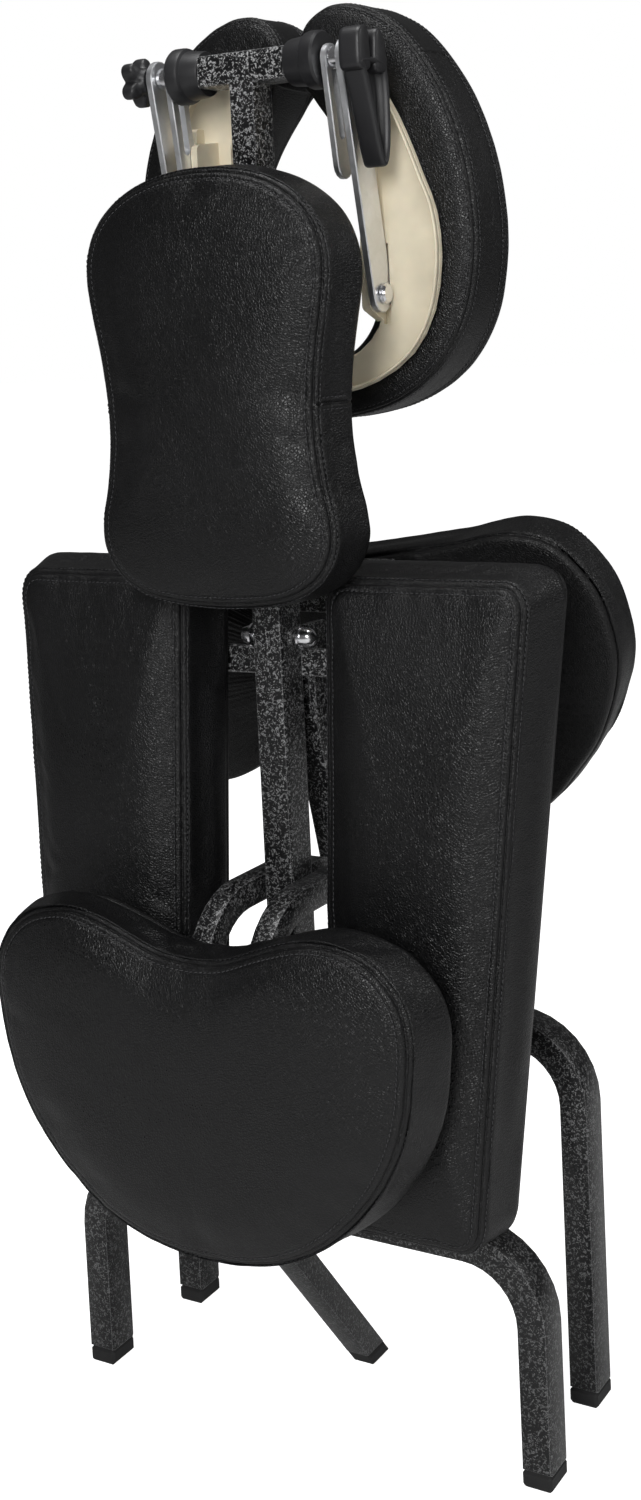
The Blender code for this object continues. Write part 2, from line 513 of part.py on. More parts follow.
# Pads are built on the frame; origins of moving pieces go on their axes
AXES = {
    "rear_leg_frame": APEX, "rear_foot_cap_left": APEX, "rear_foot_cap_right": APEX,
    "seat_fork": SEAT_AXIS, "seat_board": SEAT_AXIS, "seat_pad": SEAT_AXIS, "strut_pivot_pin": SEAT_AXIS,
    "seat_strut": (SY, SZ), "strut_foot_cap": (SY, SZ),
    "armrest_bracket": ARMREST_AXIS, "armrest_board": ARMREST_AXIS, "armrest_pad": ARMREST_AXIS,
    "cradle_arm_left": TBAR_AXIS, "cradle_arm_right": TBAR_AXIS, "cradle_link_left": TBAR_AXIS, "cradle_link_right": TBAR_AXIS,
    "cradle_base": TBAR_AXIS, "face_cushion": TBAR_AXIS, "cradle_bolt_left": TBAR_AXIS, "cradle_bolt_right": TBAR_AXIS,
    "cam_lever": LEVER_AXIS, "cradle_star_knob": TBAR_AXIS,
}
for name, (y, z) in AXES.items():
    obj = bpy.data.objects[name]
    move = Vector((0.0, y * MM, z * MM))
    for v in obj.data.vertices:
        v.co -= move
    obj.location = move

# The origin is under the middle of the whole chair, on the floor
for obj in bpy.data.objects:
    obj.location.y -= MIDDLE_Y * MM
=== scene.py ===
import json
import math

import bmesh
import bpy
import numpy as np
from mathutils import Matrix, Vector, noise

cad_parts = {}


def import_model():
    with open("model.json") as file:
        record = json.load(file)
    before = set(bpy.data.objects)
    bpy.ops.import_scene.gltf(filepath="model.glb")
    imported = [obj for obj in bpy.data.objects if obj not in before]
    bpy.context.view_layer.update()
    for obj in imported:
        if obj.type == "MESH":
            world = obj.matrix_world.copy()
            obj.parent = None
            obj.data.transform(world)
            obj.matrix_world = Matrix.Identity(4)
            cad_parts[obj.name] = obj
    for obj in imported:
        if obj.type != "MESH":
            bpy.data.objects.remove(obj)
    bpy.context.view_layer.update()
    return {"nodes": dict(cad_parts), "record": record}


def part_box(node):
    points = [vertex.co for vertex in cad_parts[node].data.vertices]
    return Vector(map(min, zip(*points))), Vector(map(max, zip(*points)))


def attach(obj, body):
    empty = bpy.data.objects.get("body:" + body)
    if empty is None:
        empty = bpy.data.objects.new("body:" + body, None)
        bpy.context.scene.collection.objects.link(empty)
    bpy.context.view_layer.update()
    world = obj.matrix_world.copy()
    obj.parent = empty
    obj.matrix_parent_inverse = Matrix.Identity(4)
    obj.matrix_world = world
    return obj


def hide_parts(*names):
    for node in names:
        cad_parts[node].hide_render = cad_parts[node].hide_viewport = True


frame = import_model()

MM = 0.001
NODES = frame["nodes"]
# Work below is in millimetres with y measured from the front leg hoop, as the
# CAD's tables are. SHIFT takes that y to the row frame.
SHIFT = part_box("main_frame")[0].y / MM - 1.0


def world(points):
    """Millimetres in the drawing frame -> metres in the row frame."""
    out = np.asarray(points, float).copy()
    out[..., 1] += SHIFT
    return out * MM


# ------------------------------------------------------------------ materials
class Graph:
    """Small helper that wires shader nodes."""

    def __init__(self, name):
        self.mat = bpy.data.materials.new(name)
        self.mat.use_nodes = True
        self.tree = self.mat.node_tree
        self.bsdf = self.tree.nodes["Principled BSDF"]
        self.coord = self.tree.nodes.new("ShaderNodeTexCoord").outputs["Object"]

    def set(self, **kw):
        for key, value in kw.items():
            name = key.replace("_", " ")
            sock = self.bsdf.inputs.get(name)
            if sock is None:
                sock = next(s for s in self.bsdf.inputs if s.name.lower() == name.lower())
            if hasattr(value, "is_linked") or isinstance(value, bpy.types.NodeSocket):
                self.tree.links.new(value, sock)
            else:
                sock.default_value = value

    def node(self, kind, **props):
        n = self.tree.nodes.new(kind)
        inputs = props.pop("inputs", {})
        for k, v in props.items():
            setattr(n, k, v)
        for k, v in inputs.items():
            sock = n.inputs[k]
            if isinstance(v, bpy.types.NodeSocket):
                self.tree.links.new(v, sock)
            else:
                sock.default_value = v
        return n

    def scaled(self, sx, sy, sz):
        return self.node("ShaderNodeMapping", inputs={"Vector": self.coord, "Scale": (sx, sy, sz)}).outputs["Vector"]

    def noise(self, scale, detail=2.0, rough=0.5, distortion=0.0, vector=None):
        return self.node("ShaderNodeTexNoise", inputs={"Vector": vector or self.coord, "Scale": scale, "Detail": detail, "Roughness": rough, "Distortion": distortion}).outputs["Fac"]

    def voronoi(self, scale, feature="F1", vector=None, randomness=1.0):
        n = self.node("ShaderNodeTexVoronoi", feature=feature, inputs={"Vector": vector or self.coord, "Scale": scale, "Randomness": randomness})
        return n.outputs["Distance"]

    def ramp(self, fac, stops, interpolation="LINEAR"):
        n = self.node("ShaderNodeValToRGB", inputs={"Fac": fac})
        r = n.color_ramp
        r.interpolation = interpolation
        while len(r.elements) > 1:
            r.elements.remove(r.elements[-1])
        r.elements[0].position = stops[0][0]
        r.elements[0].color = colour4(stops[0][1])
        for pos, col in stops[1:]:
            e = r.elements.new(pos)
            e.color = colour4(col)
        return n.outputs["Color"]

    def math(self, op, a, b=0.0):
        n = self.node("ShaderNodeMath", operation=op)
        for i, v in enumerate((a, b)):
            if isinstance(v, bpy.types.NodeSocket):
                self.tree.links.new(v, n.inputs[i])
            else:
                n.inputs[i].default_value = v
        return n.outputs[0]

    def range(self, fac, lo, hi, a=0.0, b=1.0):
        return self.node("ShaderNodeMapRange", inputs={"Value": fac, "From Min": a, "From Max": b, "To Min": lo, "To Max": hi}).outputs["Result"]

    def mix(self, fac, a, b):
        n = self.node("ShaderNodeMix", data_type="RGBA")
        for key, v in ((0, fac), (6, a), (7, b)):
            if isinstance(v, bpy.types.NodeSocket):
                self.tree.links.new(v, n.inputs[key])
            else:
                n.inputs[key].default_value = colour4(v) if key else v
        return n.outputs[2]

    def bump(self, *layers):
        """layers: (height socket, distance in metres, strength), the first one lowest."""
        normal = None
        for height, distance, strength in layers:
            n = self.node("ShaderNodeBump", inputs={"Height": height, "Distance": distance, "Strength": strength})
            if normal is not None:
                self.tree.links.new(normal, n.inputs["Normal"])
            normal = n.outputs["Normal"]
        self.tree.links.new(normal, self.bsdf.inputs["Normal"])

    def edge(self, radius=0.0012, lo=0.02, hi=0.25):
        """1 on a rounded or sharp outer edge, 0 on flats."""
        bevel = self.node("ShaderNodeBevel", samples=4, inputs={"Radius": radius}).outputs["Normal"]
        geo = self.node("ShaderNodeNewGeometry").outputs["Normal"]
        dot = self.node("ShaderNodeVectorMath", operation="DOT_PRODUCT", inputs={0: bevel, 1: geo}).outputs["Value"]
        return self.range(self.math("SUBTRACT", 1.0, dot), 0.0, 1.0, lo, hi)


def colour4(c):
    if isinstance(c, (int, float)):
        c = (c, c, c)
    return (*c[:3], 1.0)


def leather(name, base, grain=1.0, rough=0.31):
    g = Graph(name)
    moved = g.node("ShaderNodeVectorMath", operation="MULTIPLY_ADD", inputs={0: g.node("ShaderNodeTexNoise", inputs={"Vector": g.coord, "Scale": 190.0, "Detail": 1.0}).outputs["Color"], 1: (0.0022, 0.0022, 0.0022), 2: g.coord}).outputs["Vector"]
    pebble = g.range(g.voronoi(470, "DISTANCE_TO_EDGE", moved), 0.0, 1.0, 0.0, 0.24)
    big = g.voronoi(210, "SMOOTH_F1", moved)
    creases = g.noise(30, 5.0, 0.62, 0.4)
    patches = g.noise(8, 3.0, 0.55)
    worn = g.range(patches, 0.0, 1.0, 0.38, 0.68)
    tint = g.mix(worn, tuple(c * 0.82 for c in base), tuple(c * 1.35 for c in base))
    g.set(Base_Color=g.mix(g.range(pebble, 0.6, 0.0), tint, tuple(c * 0.4 for c in base)))
    fine = g.range(g.noise(420, 2.0), -0.04, 0.05)
    g.set(Roughness=g.math("ADD", g.range(patches, rough - 0.05, rough + 0.08, 0.3, 0.7), g.math("ADD", fine, g.range(pebble, 0.12, -0.02))))
    g.set(Specular_IOR_Level=0.42, IOR=1.45)
    g.bump((creases, 0.0010, 0.06 * grain), (big, 0.0007, 0.16 * grain), (pebble, 0.0004, 0.55 * grain))
    return g.mat


def hammertone(name):
    g = Graph(name)
    worm = g.noise(430, 1.2, 0.5, 1.1)
    light = g.range(worm, 0.0, 1.0, 0.545, 0.59)
    glint = g.range(g.noise(1100, 1.0), 0.30, 1.0, 0.40, 0.60)
    fleck = g.math("MULTIPLY", light, glint)
    # Painted top light: the silver flecks get brighter with height, standing in for light on the upper mast and shade
    # lower down; the large noise adds patchy tone
    height = g.node("ShaderNodeSeparateXYZ", inputs={"Vector": g.coord}).outputs["Z"]
    upper = g.range(height, 0.30, 1.0, 0.16, 1.05)
    patches_and_painted_top_light = g.math("MULTIPLY", g.range(g.noise(14, 2.0), 0.75, 1.1, 0.3, 0.7), upper)
    silver = g.mix(g.math("MULTIPLY", fleck, patches_and_painted_top_light), (0.0045, 0.0045, 0.005), (0.62, 0.625, 0.63))
    # Painted highlight: edges and rounded corners are mixed to a light grey, standing in for the bright highlights
    # along the tube edges
    g.set(Base_Color=g.mix(g.edge(0.0012, 0.0, 0.30), silver, (0.30, 0.30, 0.305)))
    g.set(Metallic=g.range(fleck, 0.0, 0.35), Roughness=g.range(fleck, 0.33, 0.42), Specular_IOR_Level=0.4)
    g.bump((g.noise(16, 2.0), 0.0006, 0.12), (worm, 0.0004, 0.5))
    return g.mat


def moulded(name, base, rough, grain_scale, grain, edge_tint=None, subsurface=0.0):
    g = Graph(name)
    patches = g.noise(22, 3.0, 0.6)
    col = g.mix(g.range(patches, 0.0, 1.0, 0.35, 0.7), tuple(c * 0.90 for c in base), tuple(min(1.0, c * 1.07) for c in base))
    if edge_tint:
        col = g.mix(g.edge(0.0008, 0.04, 0.35), col, edge_tint)
    g.set(Base_Color=col)
    scuff = g.noise(160, 4.0, 0.65, vector=g.scaled(1, 1, 0.3))
    g.set(Roughness=g.math("ADD", g.range(patches, rough - 0.05, rough + 0.06, 0.3, 0.7), g.range(scuff, -0.05, 0.05)))
    if subsurface:
        g.set(Subsurface_Weight=subsurface, Subsurface_Scale=0.004)
    g.bump((g.noise(28, 2.0), 0.0005, 0.10), (g.noise(grain_scale, 1.5), 0.00012, grain))
    return g.mat


def metal(name, base, rough, scratch=(40, 40, 1400), mottled=0.08, strength=0.25):
    g = Graph(name)
    streak = g.noise(1.0, 3.0, 0.6, vector=g.scaled(*scratch))
    patches = g.noise(60, 4.0, 0.65, 0.6)
    col = g.mix(g.range(patches, 0.0, 1.0, 0.35, 0.65), tuple(c * (1 - mottled * 2) for c in base), base)
    g.set(Base_Color=g.mix(g.edge(0.0006, 0.04, 0.4), col, tuple(min(1.0, c * 1.12) for c in base)))
    g.set(Metallic=1.0, Roughness=g.math("ADD", g.range(patches, rough - 0.03, rough + 0.10, 0.3, 0.7), g.range(streak, -0.04, 0.06)))
    g.bump((patches, 0.0002, 0.12), (streak, 0.00006, strength))
    return g.mat


def woven(name, base):
    g = Graph(name)
    a = g.node("ShaderNodeTexWave", wave_type="BANDS", bands_direction="X", inputs={"Vector": g.coord, "Scale": 260.0, "Distortion": 0.4}).outputs["Fac"]
    b = g.node("ShaderNodeTexWave", wave_type="BANDS", bands_direction="Z", inputs={"Vector": g.coord, "Scale": 260.0, "Distortion": 0.4}).outputs["Fac"]
    cross = g.math("MAXIMUM", a, b)
    fuzz = g.noise(900, 2.0)
    g.set(Base_Color=g.mix(cross, tuple(c * 0.5 for c in base), tuple(c * 1.25 for c in base)))
    g.set(Roughness=g.range(fuzz, 0.72, 0.95), Sheen_Weight=0.15)
    g.bump((g.noise(30, 3.0), 0.0012, 0.3), (cross, 0.00025, 0.7), (fuzz, 0.0001, 0.4))
    return g.mat


VINYL = leather("vinyl_black", (0.0035, 0.0035, 0.0039))
VINYL_WRAP = leather("vinyl_wrap", (0.0032, 0.0032, 0.0035), 1.1, 0.40)
STEEL = hammertone("hammertone_coat")
CREAM = moulded("cream_abs", (0.78, 0.70, 0.53), 0.40, 500, 0.12, (0.90, 0.86, 0.74), 0.06)
BLACK = moulded("moulded_black", (0.013, 0.013, 0.0145), 0.42, 1100, 0.35, (0.045, 0.045, 0.048))
RUBBER = moulded("rubber_black", (0.012, 0.012, 0.0125), 0.68, 700, 0.5, (0.03, 0.03, 0.03))
ALU = metal("aluminium_bar", (0.80, 0.81, 0.83), 0.36, (30, 900, 30), 0.06)
CHROME = metal("chrome", (0.78, 0.78, 0.80), 0.13, (90, 90, 90), 0.02, 0.08)
LINING = woven("underside_cloth", (0.014, 0.014, 0.015))
THREAD = moulded("thread_black", (0.040, 0.040, 0.043), 0.50, 1600, 0.6)

SLOT_LOOK = {
    "hammertone_steel": STEEL, "black_vinyl": VINYL, "black_board": LINING, "black_plastic": BLACK,
    "black_rubber": RUBBER, "cream_plastic": CREAM, "aluminium_bar": ALU, "chrome_hardware": CHROME,
}


def slot_of(node):
    for part in frame["record"]["subparts"]:
        if part["node"] == node:
            return part["material_slot"]
    return "hammertone_steel"


BODY_OF = {n: body for body, names in frame["record"]["behaviour"]["bodies"].items() for n in names}

for node_name, obj in NODES.items():
    obj.data.materials.clear()
    obj.data.materials.append(SLOT_LOOK[slot_of(node_name)])


def smooth_cad(node, angle=32.0, bevel=0.0):
    """Smooth shading with sharp edges kept, and an optional fine edge round, on a CAD node."""
    obj = NODES[node]
    weld = obj.modifiers.new("weld", "WELD")
    weld.merge_threshold = 2e-6
    if bevel:
        mod = obj.modifiers.new("edge_round", "BEVEL")
        mod.width = bevel * MM
        mod.segments = 2
        mod.limit_method = "ANGLE"
        mod.angle_limit = math.radians(40)
        mod.harden_normals = False
    for p in obj.data.polygons:
        p.use_smooth = True
    nodes_mod = obj.modifiers.new("smooth", "EDGE_SPLIT")
    nodes_mod.split_angle = math.radians(angle)
    nodes_mod.use_edge_sharp = False


for node_name in NODES:
    smooth_cad(node_name)


# ------------------------------------------------------------------ mesh tools
def new_object(name, verts_mm, faces, mat, body=None, smooth=True):
    mesh = bpy.data.meshes.new(name)
    mesh.from_pydata([tuple(v) for v in world(verts_mm)], [], [tuple(int(i) for i in f) for f in faces])
    mesh.validate()
    mesh.update()
    bm = bmesh.new()
    bm.from_mesh(mesh)
    bmesh.ops.recalc_face_normals(bm, faces=bm.faces)
    bm.to_mesh(mesh)
    bm.free()
    for p in mesh.polygons:
        p.use_smooth = smooth
    mesh.materials.append(mat)
    obj = bpy.data.objects.new(name, mesh)
    bpy.context.scene.collection.objects.link(obj)
    if body:
        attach(obj, body)
    return obj


def smooth_loop(points, per=3):
    out = []
    n = len(points)
    for i in range(n):
        p0, p1, p2, p3 = (points[(i + k - 1) % n] for k in range(4))
        for s in range(per):
            t = s / per
            out.append(tuple(0.5 * (2 * b + (c - a) * t + (2 * a - 5 * b + 4 * c - d) * t * t + (3 * b - a - 3 * c + d) * t ** 3) for a, b, c, d in zip(p0, p1, p2, p3)))
    return out


def mirrored(half):
    return half + [(-x, z) for x, z in half[::-1] if x > 1e-6]


def rounded(corners, n=6):
    out = []
    m = len(corners)
    for i, (u, v, r) in enumerate(corners):
        p = Vector((u, v))
        a = (Vector(corners[i - 1][:2]) - p).normalized()
        b = (Vector(corners[(i + 1) % m][:2]) - p).normalized()
        half = a.angle(b) / 2
        centre = p + (a + b).normalized() * (r / math.sin(half))
        start = p + a * (r / math.tan(half)) - centre
        end = p + b * (r / math.tan(half)) - centre
        turn = math.atan2(start.x * end.y - start.y * end.x, start.dot(end))
        for k in range(n + 1):
            t = turn * k / n
            out.append((centre.x + start.x * math.cos(t) - start.y * math.sin(t), centre.y + start.x * math.sin(t) + start.y * math.cos(t)))
    return out


def resample(loop, count, closed=True):
    """Points spaced evenly along a polyline."""
    pts = np.asarray(loop, float)
    if closed:
        pts = np.vstack([pts, pts[:1]])
    seg = np.linalg.norm(np.diff(pts, axis=0), axis=1)
    cum = np.concatenate([[0], np.cumsum(seg)])
    t = np.linspace(0, cum[-1], count + 1)[:-1] if closed else np.linspace(0, cum[-1], count)
    return np.stack([np.interp(t, cum, pts[:, k]) for k in range(pts.shape[1])], axis=1)


def ccw(loop):
    p = np.asarray(loop, float)
    area = np.sum(p[:, 0] * np.roll(p[:, 1], -1) - np.roll(p[:, 0], -1) * p[:, 1])
    return p if area > 0 else p[::-1].copy()


def inward(loop):
    """Unit inward normals of a counter-clockwise loop, smoothed a little."""
    d = np.roll(loop, -1, 0) - np.roll(loop, 1, 0)
    n = np.stack([-d[:, 1], d[:, 0]], 1)
    n /= np.linalg.norm(n, axis=1, keepdims=True)
    n = n + np.roll(n, 1, 0) + np.roll(n, -1, 0)
    return n / np.linalg.norm(n, axis=1, keepdims=True)


def catmull_rows(P, t):
    R = P.shape[0]
    i = np.clip(np.floor(t).astype(int), 0, R - 2)
    f = (t - i)[:, None, None]
    p1, p2 = P[i], P[i + 1]
    p0 = np.where((i > 0)[:, None, None], P[np.maximum(i - 1, 0)], 2 * p1 - p2)
    p3 = np.where((i < R - 2)[:, None, None], P[np.minimum(i + 2, R - 1)], 2 * p2 - p1)
    return 0.5 * (2 * p1 + (p2 - p0) * f + (2 * p0 - 5 * p1 + 4 * p2 - p3) * f ** 2 + (3 * p1 - p0 - 3 * p2 + p3) * f ** 3)


def catmull_cols(P, t):
    A = P.shape[1]
    i = np.floor(t).astype(int)
    f = (t - i)[None, :, None]
    p0, p1, p2, p3 = (P[:, (i + k) % A] for k in (-1, 0, 1, 2))
    return 0.5 * (2 * p1 + (p2 - p0) * f + (2 * p0 - 5 * p1 + 4 * p2 - p3) * f ** 2 + (3 * p1 - p0 - 3 * p2 + p3) * f ** 3)


def grid_faces(R, A, closed_cols=True):
    """Faces of a grid whose first and last rows are single points (index 0 and last)."""
    faces = []
    last = 1 + (R - 2) * A
    for a in range(A if closed_cols else A - 1):
        b = (a + 1) % A
        faces.append((0, 1 + b, 1 + a))
        top = 1 + (R - 3) * A
        faces.append((last, top + a, top + b))
        for r in range(R - 3):
            p = 1 + r * A
            q = p + A
            faces.append((p + a, p + b, q + b, q + a))
    return faces


def flatten(P):
    return np.vstack([P[0, :1], P[1:-1].reshape(-1, 3), P[-1, :1]])


def swell(P, pinned, pressure=4.0, cap=7.0, frames=20, tension=12.0, shrink=0.0, seam_rows=()):
    """Cloth simulation on the coarse grid of a pad: the cover is blown up against its own
    tension, with the rows against the board held still. Returns the moved grid."""
    R, A = P.shape[:2]
    start = flatten(P)
    mesh = bpy.data.meshes.new("swell")
    mesh.from_pydata([tuple(v) for v in start * MM], [], grid_faces(R, A))
    mesh.update()
    bm = bmesh.new()
    bm.from_mesh(mesh)
    bmesh.ops.recalc_face_normals(bm, faces=bm.faces)
    bm.to_mesh(mesh)
    bm.free()
    obj = bpy.data.objects.new("swell", mesh)
    bpy.context.scene.collection.objects.link(obj)
    pin = obj.vertex_groups.new(name="pin")
    if isinstance(pinned, np.ndarray):
        held = [i for i, yes in enumerate(flatten(np.repeat(pinned[..., None], 3, 2))[:, 0]) if yes]
    else:
        held = [0] + [1 + (r - 1) * A + a for r in pinned if r > 0 for a in range(A)]
    pin.add(held, 1.0, "REPLACE")
    mod = obj.modifiers.new("cloth", "CLOTH")
    st = mod.settings
    st.quality = 7
    st.mass = 0.25
    st.tension_stiffness = tension
    st.compression_stiffness = tension
    st.shear_stiffness = tension * 0.4
    st.bending_stiffness = 0.6
    st.air_damping = 2.0
    st.use_pressure = True
    st.uniform_pressure_force = pressure
    st.vertex_group_mass = "pin"
    st.effector_weights.gravity = 0.0
    if shrink:
        seam = obj.vertex_groups.new(name="seam")
        seam.add([1 + (r - 1) * A + a for r in seam_rows for a in range(A)], 1.0, "REPLACE")
        st.vertex_group_shrink = "seam"
        st.shrink_max = shrink
    mod.point_cache.frame_start = 1
    mod.point_cache.frame_end = frames
    scene = bpy.context.scene
    for f in range(1, frames + 1):
        scene.frame_set(f)
    graph = bpy.context.evaluated_depsgraph_get()
    moved = obj.evaluated_get(graph).to_mesh()
    co = np.empty(len(moved.vertices) * 3, np.float32)
    moved.vertices.foreach_get("co", co)
    co = co.reshape(-1, 3).astype(float) / MM
    scene.frame_set(1)
    bpy.data.objects.remove(obj, do_unlink=True)
    d = co - start
    if not np.isfinite(d).all():
        return P
    size = np.linalg.norm(d, axis=1, keepdims=True)
    limit = cap
    if isinstance(cap, np.ndarray):
        grid = np.repeat(np.repeat(cap[:, None], A, 1)[..., None], 3, 2)
        limit = flatten(grid)[:, :1]
    co = start + d * np.minimum(1.0, limit / np.maximum(size, 1e-9))
    out = P.copy()
    out[0] = co[0]
    out[-1] = co[-1]
    out[1:-1] = co[1:-1].reshape(R - 2, A, 3)
    return out


def row_plan(cum_marks, sections):
    """Target arc lengths of the fine rows. cum_marks: arc length at each mark, per column.
    sections: for each gap between marks, (offsets after the first mark, count of even rows,
    offsets before the second mark)."""
    rows, marks = [cum_marks[0]], [0]
    tags = [(0, 0.0)]
    for k, (after, count, before) in enumerate(sections):
        a, b = cum_marks[k], cum_marks[k + 1]
        room = b - a
        head = after[-1] if after else 0.0
        tail = before[0] if before else 0.0
        fit = np.minimum(1.0, 0.9 * room / max(head + tail, 1e-6))
        for o in after:
            rows.append(a + o * fit)
            tags.append((k, o))
        lo, hi = a + head * fit, b - tail * fit
        for j in range(1, count + 1):
            rows.append(lo + (hi - lo) * j / (count + 1))
            tags.append((k, None))
        for o in before:
            rows.append(b - o * fit)
            tags.append((k + 1, -o))
        rows.append(b)
        tags.append((k + 1, 0.0))
    return np.array(rows), tags


def refine(P, marks, sections, cols):
    """Fine grid from a coarse one. marks: row indices of the coarse grid that are seams or ends."""
    Q = catmull_cols(P, cols)
    per = 16
    t = np.linspace(0, P.shape[0] - 1, per * (P.shape[0] - 1) + 1)
    dense = catmull_rows(Q, t)
    seg = np.linalg.norm(np.diff(dense, axis=0), axis=2)
    cum = np.vstack([np.zeros(seg.shape[1]), np.cumsum(seg, axis=0)])
    cum_marks = [cum[m * per] for m in marks]
    rows, tags = row_plan(cum_marks, sections)
    out = np.empty((len(rows), dense.shape[1], 3))
    for c in range(dense.shape[1]):
        for k in range(3):
            out[:, c, k] = np.interp(rows[:, c], cum[:, c], dense[:, c, k])
    # Distance of each fine row from each mark, per column
    dist = np.stack([rows - m for m in cum_marks])
    return out, dist


def grid_normals(P, closed=True):
    dr = np.gradient(P, axis=0)
    if closed:
        dc = np.roll(P, -1, 1) - np.roll(P, 1, 1)
    else:
        dc = np.gradient(P, axis=1)
    n = np.cross(dr, dc)
    length = np.linalg.norm(n, axis=2, keepdims=True)
    n = n / np.maximum(length, 1e-9)
    centre = P.reshape(-1, 3).mean(0)
    if np.sum(n[2:-2] * (P[2:-2] - centre)) < 0:
        n = -n
    return n


def undulate(P, scale, amount, seed):
    flat = P.reshape(-1, 3)
    off = Vector((seed * 13.7, seed * 5.1, seed * 9.3))
    out = np.array([noise.noise(Vector(p) * scale + off) for p in flat])
    return (out * amount).reshape(P.shape[:2])


def ripple(length, seed, lo, hi, count=7):
    """Smooth pseudo-random ripple along a loop, of wavelengths lo..hi."""
    rng = np.random.RandomState(seed)
    s = np.linspace(0, 1, 2000)
    y = np.zeros_like(s)
    for _ in range(count):
        waves = max(1, int(round(length / rng.uniform(lo, hi))))
        y += rng.uniform(0.4, 1.0) * np.sin(2 * np.pi * (waves * s + rng.uniform()))
    y /= count ** 0.5
    return s, y


def stitches(name, line, normals, side, mat, body, pitch=4.4, length=3.0, width=0.85, lift=0.35, closed=True):
    """Thread stitches laid along a line of points on a cover: each one a small rounded bead."""
    pts = np.asarray(line, float)
    nor = np.asarray(normals, float)
    if closed:
        pts = np.vstack([pts, pts[:1]])
        nor = np.vstack([nor, nor[:1]])
    seg = np.linalg.norm(np.diff(pts, axis=0), axis=1)
    cum = np.concatenate([[0], np.cumsum(seg)])
    total = cum[-1]
    count = max(2, int(total / pitch))
    verts, faces = [], []
    ring = 6
    stations = [(-0.5, 0.25, -0.3), (-0.36, 0.85, 0.05), (0.0, 1.0, 0.22), (0.36, 0.85, 0.05), (0.5, 0.25, -0.3)]

    def at(s):
        s = s % total if closed else min(max(s, 0), total)
        p = np.array([np.interp(s, cum, pts[:, k]) for k in range(3)])
        n = np.array([np.interp(s, cum, nor[:, k]) for k in range(3)])
        return p, n / max(np.linalg.norm(n), 1e-9)

    for i in range(count):
        mid = (i + 0.5) * total / count
        base = len(verts)
        for f, w, h in stations:
            p, n = at(mid + f * length)
            q, _ = at(mid + f * length + 0.3)
            tan = q - p
            tan /= max(np.linalg.norm(tan), 1e-9)
            across = np.cross(n, tan)
            c = p + n * (lift + h) + across * (f * 0.5)
            for k in range(ring):
                a = 2 * math.pi * k / ring
                verts.append(c + across * (math.cos(a) * width * 0.5 * w) + n * (math.sin(a) * width * 0.42 * w))
        for j in range(len(stations) - 1):
            for k in range(ring):
                l = (k + 1) % ring
                a = base + j * ring
                faces.append((a + k, a + l, a + ring + l, a + ring + k))
        faces.append(tuple(base + k for k in range(ring))[::-1])
        faces.append(tuple(base + (len(stations) - 1) * ring + k for k in range(ring)))
    return new_object(name, np.array(verts), faces, mat, body)


def near(dist, at, width):
    return np.exp(-(((dist - at) / width) ** 2))


# ------------------------------------------------------------------ pads
SEAM_AFTER = [0.5, 1.0, 1.7, 2.6, 3.8, 5.0, 5.6, 6.2, 6.8, 7.6, 9.5, 12.5]
SEAM_BEFORE = SEAM_AFTER[::-1]


def flared(to_world, depth, cx, at_back, at_front, base=0.0, drop=0.0):
    """The pad is wider at its board than at its face panel."""
    def go(p):
        p = np.array(p, float)
        t = p[..., 2] / depth
        p[..., 0] = cx + (p[..., 0] - cx) * (at_back + (at_front - at_back) * t)
        p[..., 1] -= (p[..., 1] - base) * drop * t
        return to_world(p)
    return go


